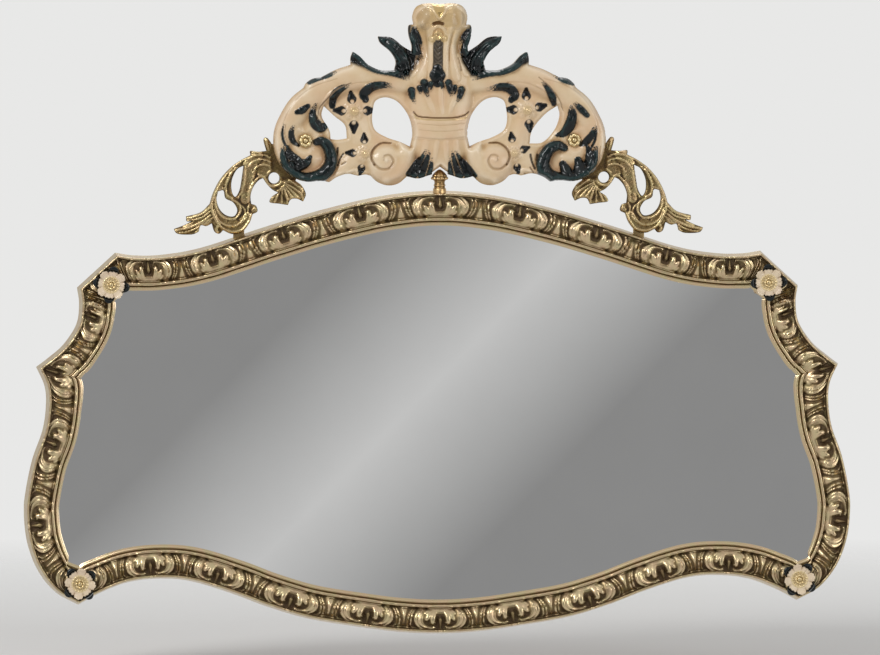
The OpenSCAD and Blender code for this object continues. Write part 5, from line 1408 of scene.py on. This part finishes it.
def flower(name, node, turn):
    low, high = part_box(node)
    centre = [(low[0] + high[0]) / 2 / MM, (low[2] + high[2]) / 2 / MM]
    bm = bmesh.new()
    dish(bm, centre, petal_reach, petal_heights, 30, 160, petal_paint_and_painted_light, math.radians(turn))
    dish(bm, centre, sepal_reach, sepal_heights, 20, 120, sepal_paint_and_highlight, math.radians(turn))
    return finish_piece(name, bm, [node], "frame", "porcelain", flower_glaze, crease=80)


for where, turn in (("top_left", -10), ("top_right", 3), ("bottom_left", 38),
                    ("bottom_right", 55)):
    flower("porcelain_flower_" + where, "flower_" + where, turn)

# %% [markdown]
# The bosses, the rosettes and the stem were turned on a lathe and gilded. A profile from the
# axis to the rim is spun a full turn. The petals of a boss or rosette were filed by hand
# afterwards, so here a wave is laid round its face once it has been spun.


# %% Turned pieces
def turned(bm, centre, profile, lobes=0, wave=0.0, steps=64):
    """Spins a profile of (radius, forward) about an axis that points out of the wall."""
    x, z = centre
    verts = [bm.verts.new(((x + r) * MM, -f * MM, z * MM)) for r, f in profile]
    edges = [bm.edges.new(pair) for pair in zip(verts, verts[1:])]
    bmesh.ops.spin(bm, geom=verts + edges, cent=(x * MM, 0, z * MM), axis=(0, 1, 0),
                   angle=2 * math.pi, steps=steps, use_merge=True)
    bmesh.ops.remove_doubles(bm, verts=bm.verts, dist=0.002 * MM)
    if lobes:
        reach = max(r for r, f in profile)
        top = max(f for r, f in profile)
        for v in bm.verts:
            dx, dz = v.co.x / MM - x, v.co.z / MM - z
            r = math.hypot(dx, dz)
            if r > reach * 0.4 and -v.co.y / MM > top - 8:
                k = math.cos(lobes * math.atan2(dz, dx)) * wave
                fade = min((r - reach * 0.4) / (reach * 0.3), 1)
                v.co.y -= k * fade * 0.7 * MM
                v.co.x += dx / r * k * fade * 0.5 * MM
                v.co.z += dz / r * k * fade * 0.5 * MM


def gilded(name, bright="#DECBA0", mid="#BBA375", deep="#7C643A"):
    """Gilded brass: soft yellow shine with brown lacquer left in the corners."""
    material, tree, surface = new_material(name)
    here = add(tree, "ShaderNodeTexCoord").outputs["Object"]
    corners = add(tree, "ShaderNodeNewGeometry").outputs["Pointiness"]
    worn = add(tree, "ShaderNodeTexNoise", {"Vector": here, "Scale": per_mm(3.0), "Detail": 5.0,
                                            "Roughness": 0.6})
    level = add(tree, "ShaderNodeMath", {0: worn.outputs["Fac"], 1: 0.16, 2: corners},
                operation="MULTIPLY_ADD")
    colour = add(tree, "ShaderNodeValToRGB", {"Fac": level.outputs[0]}, stops=[
        (0.0, linear(deep)), (0.5, linear(deep)), (0.575, linear(mid)),
        (0.66, linear(bright))])
    rough = add(tree, "ShaderNodeMapRange", {"Value": worn.outputs["Fac"], "From Min": 0.3,
                                             "From Max": 0.7, "To Min": 0.28, "To Max": 0.45})
    bump = add(tree, "ShaderNodeBump", {"Height": worn.outputs["Fac"], "Strength": 0.25,
                                        "Distance": 0.2 * MM})
    wire(tree, surface, Base_Color=colour.outputs[0], Roughness=rough.outputs[0],
         Normal=bump.outputs[0])
    surface.inputs["Metallic"].default_value = 1.0
    return material


gilding = gilded("gilded_brass")


def node_centre(node):
    low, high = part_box(node)
    return (low[0] + high[0]) / 2 / MM, (low[2] + high[2]) / 2 / MM


boss = [(0, 4.0), (1.2, 3.95), (2.2, 3.6), (3.0, 2.9), (3.4, 2.2), (4.0, 1.7), (4.6, 1.9),
        (5.4, 2.4), (6.0, 2.3), (6.6, 1.6), (6.9, 0.8), (6.8, 0), (2.5, 0)]
boss_seat = 35.2
bm = bmesh.new()
for where in ("top_left", "top_right", "bottom_left", "bottom_right"):
    turned(bm, node_centre("flower_" + where),
           [(r, f + boss_seat) for r, f in boss] + [(2.5, 2.1), (2.1, 1.5), (0, 1.5)],
           lobes=8, wave=0.55)
finish_piece("gilded_bosses", bm, ["flower_bolts"], "frame", "gilt", gilding, crease=50)

rosette = [(0, 6.0), (1.4, 5.9), (2.6, 5.4), (3.3, 4.5), (3.6, 3.6), (4.2, 3.0), (5.0, 3.3),
           (6.2, 4.0), (7.6, 3.9), (8.8, 3.1), (9.8, 1.8), (10.1, 0.9), (9.9, 0), (2.5, 0)]
rosette_f = 21.3
rosette_x, rosette_z = 194.5, 201.08
bm = bmesh.new()
for sign in (-1, 1):
    turned(bm, (sign * rosette_x, rosette_z),
           [(r, f + rosette_f) for r, f in rosette] + [(2.5, 1.0), (2.1, 0.5), (0, 0.5)],
           lobes=8, wave=0.6)
finish_piece("gilded_rosettes", bm, ["crest_bolts"], "frame", "gilt", gilding, crease=50)

# %% The stem between the rail and the crest
stem = [(0, -10), (9.3, -10), (9.5, -1.6), (9.0, -0.4), (8.2, 0.4), (7.8, 1.4), (7.8, 2.8),
        (8.5, 3.4), (8.7, 4.2), (8.4, 5.0), (7.7, 5.6), (7.5, 7.4), (7.6, 9.6), (8.4, 10.4),
        (8.6, 11.2), (9.4, 11.8), (11.4, 12.2), (12.5, 13.0), (12.8, 14.2), (12.4, 15.4),
        (11.2, 16.2), (10.7, 16.8), (11.0, 17.6), (10.5, 18.6), (9.4, 20.2), (7.6, 22.2),
        (5.2, 24.4), (2.8, 26.2), (1.2, 27), (0, 27)]
STEM_F = 14
RAIL_SLOPE = math.atan(4.5 / 23)
FACE_GAP = 0.2
bm = bmesh.new()
verts = [bm.verts.new((r * MM, -STEM_F * MM, (h + crest_z) * MM)) for r, h in stem]
edges = [bm.edges.new(pair) for pair in zip(verts, verts[1:])]
bmesh.ops.spin(bm, geom=verts + edges, cent=(0, -STEM_F * MM, 0), axis=(0, 0, 1),
               angle=2 * math.pi, steps=72, use_merge=True)
bmesh.ops.remove_doubles(bm, verts=bm.verts, dist=0.002 * MM)
# Its foot is cut to the slope of the rail's outer wall
bmesh.ops.bisect_plane(bm, geom=list(bm.verts) + list(bm.edges) + list(bm.faces),
                       plane_co=(0, 0, (top_z + FACE_GAP) * MM),
                       plane_no=(0, -math.sin(RAIL_SLOPE), math.cos(RAIL_SLOPE)),
                       clear_inner=True)
open_edges = [e for e in bm.edges if len(e.link_faces) == 1]
bmesh.ops.holes_fill(bm, edges=open_edges, sides=0)
# Leaf flutes filed into its upper collar
FLUTES, FLUTE_LOW, FLUTE_HIGH = 10, 11.5, 24
for v in bm.verts:
    h = v.co.z / MM - crest_z
    dx, dy = v.co.x, v.co.y + STEM_F * MM
    r = math.hypot(dx, dy)
    if FLUTE_LOW < h < FLUTE_HIGH and r > 2 * MM:
        fade = min((h - FLUTE_LOW) / 2, (FLUTE_HIGH - h) / 2, 1)
        k = 1 + 0.05 * (math.cos(FLUTES * math.atan2(dy, dx)) - 1) * fade
        v.co.x, v.co.y = dx * k, dy * k - STEM_F * MM
# Its lacquer has browned in the corners
stem_brass = gilded("lacquered_turned_brass", "#CBAC7E", "#9B7D52", "#523B22")
finish_piece("gilded_stem", bm, ["crest_stem"], "frame", "turned_brass", stem_brass, crease=50)


# %% [markdown]
# ## The silvered glass and the hidden hardware
# A mirror is clear glass with silver behind it. Seen from the front it is one bright, neutral
# reflecting layer, a little darker than bare silver. The real plate is smooth, so it gets only a
# trace of dust, in faint clouds.

# %% Silvered glass
mirror_glass, tree, surface = new_material("silvered_float_glass")
here = add(tree, "ShaderNodeTexCoord").outputs["Object"]
haze = add(tree, "ShaderNodeTexNoise", {"Vector": here, "Scale": per_mm(180), "Detail": 5.0,
                                        "Roughness": 0.6})
tint = add(tree, "ShaderNodeValToRGB", {"Fac": haze.outputs["Fac"]}, stops=[
    (0.3, linear("#F0F0EF")), (0.7, linear("#F4F4F3"))])
dust = add(tree, "ShaderNodeMapRange", {"Value": haze.outputs["Fac"], "From Min": 0.35,
                                        "From Max": 0.7, "To Min": 0.005, "To Max": 0.02})
wire(tree, surface, Base_Color=tint.outputs[0], Roughness=dust.outputs[0])
surface.inputs["Metallic"].default_value = 1.0

# %% [markdown]
# Behind the frame there is a pressed fibre board, smooth side out, with plates, buttons, hangers
# and screws of zinc-plated steel. Zinc plating shows soft grey spangles and fine drawing marks.
# The washers are plain cut leather.

# %% Board, steel and leather
board, tree, surface = new_material("pressed_fibre_board")
here = add(tree, "ShaderNodeTexCoord").outputs["Object"]
fibres = add(tree, "ShaderNodeTexNoise", {"Vector": here, "Scale": per_mm(1.6), "Detail": 8.0,
                                          "Roughness": 0.75, "Distortion": 1.2})
blotch = add(tree, "ShaderNodeTexNoise", {"Vector": here, "Scale": per_mm(70), "Detail": 3.0})
mixed = add(tree, "ShaderNodeMath", {0: blotch.outputs["Fac"], 1: 0.5, 2: fibres.outputs["Fac"]},
            operation="MULTIPLY_ADD")
colour = add(tree, "ShaderNodeValToRGB", {"Fac": mixed.outputs[0]}, stops=[
    (0.3, linear("#3E2A1B")), (0.62, linear("#6B4A30")), (0.75, linear("#7D5A3C")),
    (1.0, linear("#9A7752"))])
bump = add(tree, "ShaderNodeBump", {"Height": fibres.outputs["Fac"], "Strength": 0.4,
                                    "Distance": 0.15 * MM})
wire(tree, surface, Base_Color=colour.outputs[0], Normal=bump.outputs[0])
surface.inputs["Roughness"].default_value = 0.55

zinc, tree, surface = new_material("zinc_plated_steel")
here = add(tree, "ShaderNodeTexCoord").outputs["Object"]
spangle = add(tree, "ShaderNodeTexVoronoi", {"Vector": here, "Scale": per_mm(2.5)})
stretched = add(tree, "ShaderNodeMapping", {"Vector": here, "Scale": (per_mm(12), per_mm(0.5),
                                                                     per_mm(0.5))})
drawn = add(tree, "ShaderNodeTexNoise", {"Vector": stretched.outputs[0], "Scale": 1.0,
                                         "Detail": 4.0})
shade = add(tree, "ShaderNodeMath", {0: drawn.outputs["Fac"], 1: 0.5,
                                     2: spangle.outputs["Distance"]}, operation="MULTIPLY_ADD")
colour = add(tree, "ShaderNodeValToRGB", {"Fac": shade.outputs[0]}, stops=[
    (0.1, linear("#8E9294")), (0.5, linear("#B4B8BA")), (0.9, linear("#CDD0D0"))])
rough = add(tree, "ShaderNodeMapRange", {"Value": shade.outputs[0], "To Min": 0.28,
                                         "To Max": 0.5})
bump = add(tree, "ShaderNodeBump", {"Height": drawn.outputs["Fac"], "Strength": 0.2,
                                    "Distance": 0.05 * MM})
wire(tree, surface, Base_Color=colour.outputs[0], Roughness=rough.outputs[0],
     Normal=bump.outputs[0])
surface.inputs["Metallic"].default_value = 1.0

leather, tree, surface = new_material("cut_leather")
here = add(tree, "ShaderNodeTexCoord").outputs["Object"]
pores = add(tree, "ShaderNodeTexVoronoi", {"Vector": here, "Scale": per_mm(0.8)})
colour = add(tree, "ShaderNodeValToRGB", {"Fac": pores.outputs["Distance"]}, stops=[
    (0.0, linear("#33200F")), (0.6, linear("#5C3B22"))])
bump = add(tree, "ShaderNodeBump", {"Height": pores.outputs["Distance"], "Strength": 0.5,
                                    "Distance": 0.1 * MM})
wire(tree, surface, Base_Color=colour.outputs[0], Normal=bump.outputs[0])
surface.inputs["Roughness"].default_value = 0.7

# %% Give each solid its finish
dressed = 0
for name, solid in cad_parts.items():
    finish = None
    if name == "mirror_glass":
        finish = mirror_glass
    elif name == "backing_board":
        finish = board
    elif "washers" in name:
        finish = leather
    elif any(word in name for word in ("plate", "screws", "button", "hanger", "nut")):
        finish = zinc
    if finish:
        for k in range(max(len(solid.material_slots), 1)):
            if solid.material_slots:
                solid.material_slots[k].material = finish
            else:
                solid.data.materials.append(finish)
        dressed += 1
print(dressed, "solids keep their shape and get a finish")


# %% [markdown]
# ## Floor, light and camera
# Soft studio light on a pale floor shows the carving without hard shadows. The camera stands
# slightly left of the mirror's middle, where the photographer stood, with a long lens.

# %% Stage
scene = bpy.context.scene
scene.view_settings.view_transform = "Standard"


def area_light(name, place, target, size, watts, colour="#FFFFFF"):
    data = bpy.data.lights.new(name, "AREA")
    data.shape = "DISK"
    data.size = size
    data.energy = watts
    data.color = linear(colour)[:3]
    lamp = bpy.data.objects.new(name, data)
    lamp.location = place
    way = np.array(target) - np.array(place)
    lamp.rotation_euler = (math.atan2(math.hypot(way[0], way[1]), -way[2]), 0,
                           math.atan2(-way[0], way[1]))
    scene.collection.objects.link(lamp)
    return lamp


area_light("key_softbox", (-2.6, -3.0, 2.6), (0, 0, -0.05), 1.6, 95)
area_light("fill_softbox", (3.0, -3.2, 0.6), (0, 0, -0.05), 2.2, 38)
area_light("rim_softbox", (0.2, 2.2, 2.4), (0, 0, 0), 1.4, 14)

world = bpy.data.worlds.new("pale_studio")
scene.world = world
world.use_nodes = True
world.node_tree.nodes.clear()
rays = add(world.node_tree, "ShaderNodeLightPath")
seen = add(world.node_tree, "ShaderNodeMath", {0: rays.outputs["Is Camera Ray"],
                                              1: rays.outputs["Is Glossy Ray"]},
           operation="MAXIMUM")
seen = add(world.node_tree, "ShaderNodeMath", {0: seen.outputs[0],
                                              1: rays.outputs["Is Transmission Ray"]},
           operation="MAXIMUM")
ambient = add(world.node_tree, "ShaderNodeBackground", {"Color": linear("#FFFFFF"),
                                                        "Strength": 0.42})
backdrop = add(world.node_tree, "ShaderNodeBackground", {"Color": linear("#E8E8E7"),
                                                         "Strength": 1.0})
sky = add(world.node_tree, "ShaderNodeMixShader", {0: seen.outputs[0], 1: ambient.outputs[0],
                                                   2: backdrop.outputs[0]})
add(world.node_tree, "ShaderNodeOutputWorld", {"Surface": sky.outputs[0]})

floor_mesh = bpy.data.meshes.new("floor")
bm = bmesh.new()
bmesh.ops.create_circle(bm, cap_ends=True, segments=96, radius=3.4)
for v in bm.verts:
    v.co.z = -0.56
bm.to_mesh(floor_mesh)
bm.free()
floor = bpy.data.objects.new("floor", floor_mesh)
scene.collection.objects.link(floor)
floor_paint, tree, surface = new_material("matt_pale_floor")
surface.inputs["Base Color"].default_value = linear("#E9E8E6")
surface.inputs["Roughness"].default_value = 0.9
here = add(tree, "ShaderNodeTexCoord").outputs["Object"]
flat_here = add(tree, "ShaderNodeVectorMath", {0: here, 1: (1, 1, 0)}, operation="MULTIPLY")
reach = add(tree, "ShaderNodeVectorMath", {0: flat_here.outputs[0]}, operation="LENGTH")
fade = add(tree, "ShaderNodeMapRange", {"Value": reach.outputs["Value"], "From Min": 1.0,
                                        "From Max": 3.3, "To Min": 1.0, "To Max": 0.0})
tree.links.new(fade.outputs[0], surface.inputs["Alpha"])
floor_mesh.materials.append(floor_paint)
floor.visible_glossy = False

# The reflector card that the glass shows: grey with one soft diagonal light band
card_mesh = bpy.data.meshes.new("reflector_card")
bm = bmesh.new()
bmesh.ops.create_grid(bm, x_segments=1, y_segments=1, size=4.0)
CARD_Y = -9.0
for v in bm.verts:
    v.co = (v.co.x + 1.0, CARD_Y, v.co.y)
bm.to_mesh(card_mesh)
bm.free()
card = bpy.data.objects.new("reflector_card", card_mesh)
scene.collection.objects.link(card)
card.visible_camera = False
card.visible_diffuse = False
card.visible_shadow = False
card.visible_transmission = False
card_paint, tree, surface = new_material("card_light_band")
tree.nodes.clear()
here = add(tree, "ShaderNodeTexCoord").outputs["Object"]
# Distance across the band, in metres on the card
across = add(tree, "ShaderNodeVectorMath", {0: here, 1: (0.709, 0, -0.705)},
             operation="DOT_PRODUCT")
away = add(tree, "ShaderNodeMath", {0: across.outputs["Value"], 1: -1.044}, operation="ADD")
away = add(tree, "ShaderNodeMath", {0: away.outputs[0]}, operation="ABSOLUTE")
glow = add(tree, "ShaderNodeMapRange", {"Value": away.outputs[0], "From Min": 0.0,
                                        "From Max": 0.337, "To Min": 0.6, "To Max": 0.274})
light = add(tree, "ShaderNodeEmission", {"Color": linear("#FFFFFF"),
                                         "Strength": glow.outputs[0]})
add(tree, "ShaderNodeOutputMaterial", {"Surface": light.outputs[0]})
card_mesh.materials.append(card_paint)

# %% Camera at the photo's angle
AZIMUTH, ELEVATION = math.radians(-6), math.radians(2.2)
LENS, SENSOR = 450.0, 36.0
MM_PER_PX = 1.4417
width_m = 880 * MM_PER_PX * MM
distance = width_m * LENS / SENSOR
aim = np.array([0.0, -0.02, -0.0688])
back_way = np.array([math.sin(AZIMUTH) * math.cos(ELEVATION),
                     -math.cos(AZIMUTH) * math.cos(ELEVATION), math.sin(ELEVATION)])
camera_data = bpy.data.cameras.new("photo_camera")
camera_data.lens = LENS
camera_data.sensor_width = SENSOR
camera = bpy.data.objects.new("photo_camera", camera_data)
camera.location = aim + back_way * distance
camera.rotation_euler = (math.pi / 2 - ELEVATION, 0, AZIMUTH)
scene.collection.objects.link(camera)
scene.camera = camera
print("camera", round(distance, 2), "m away")
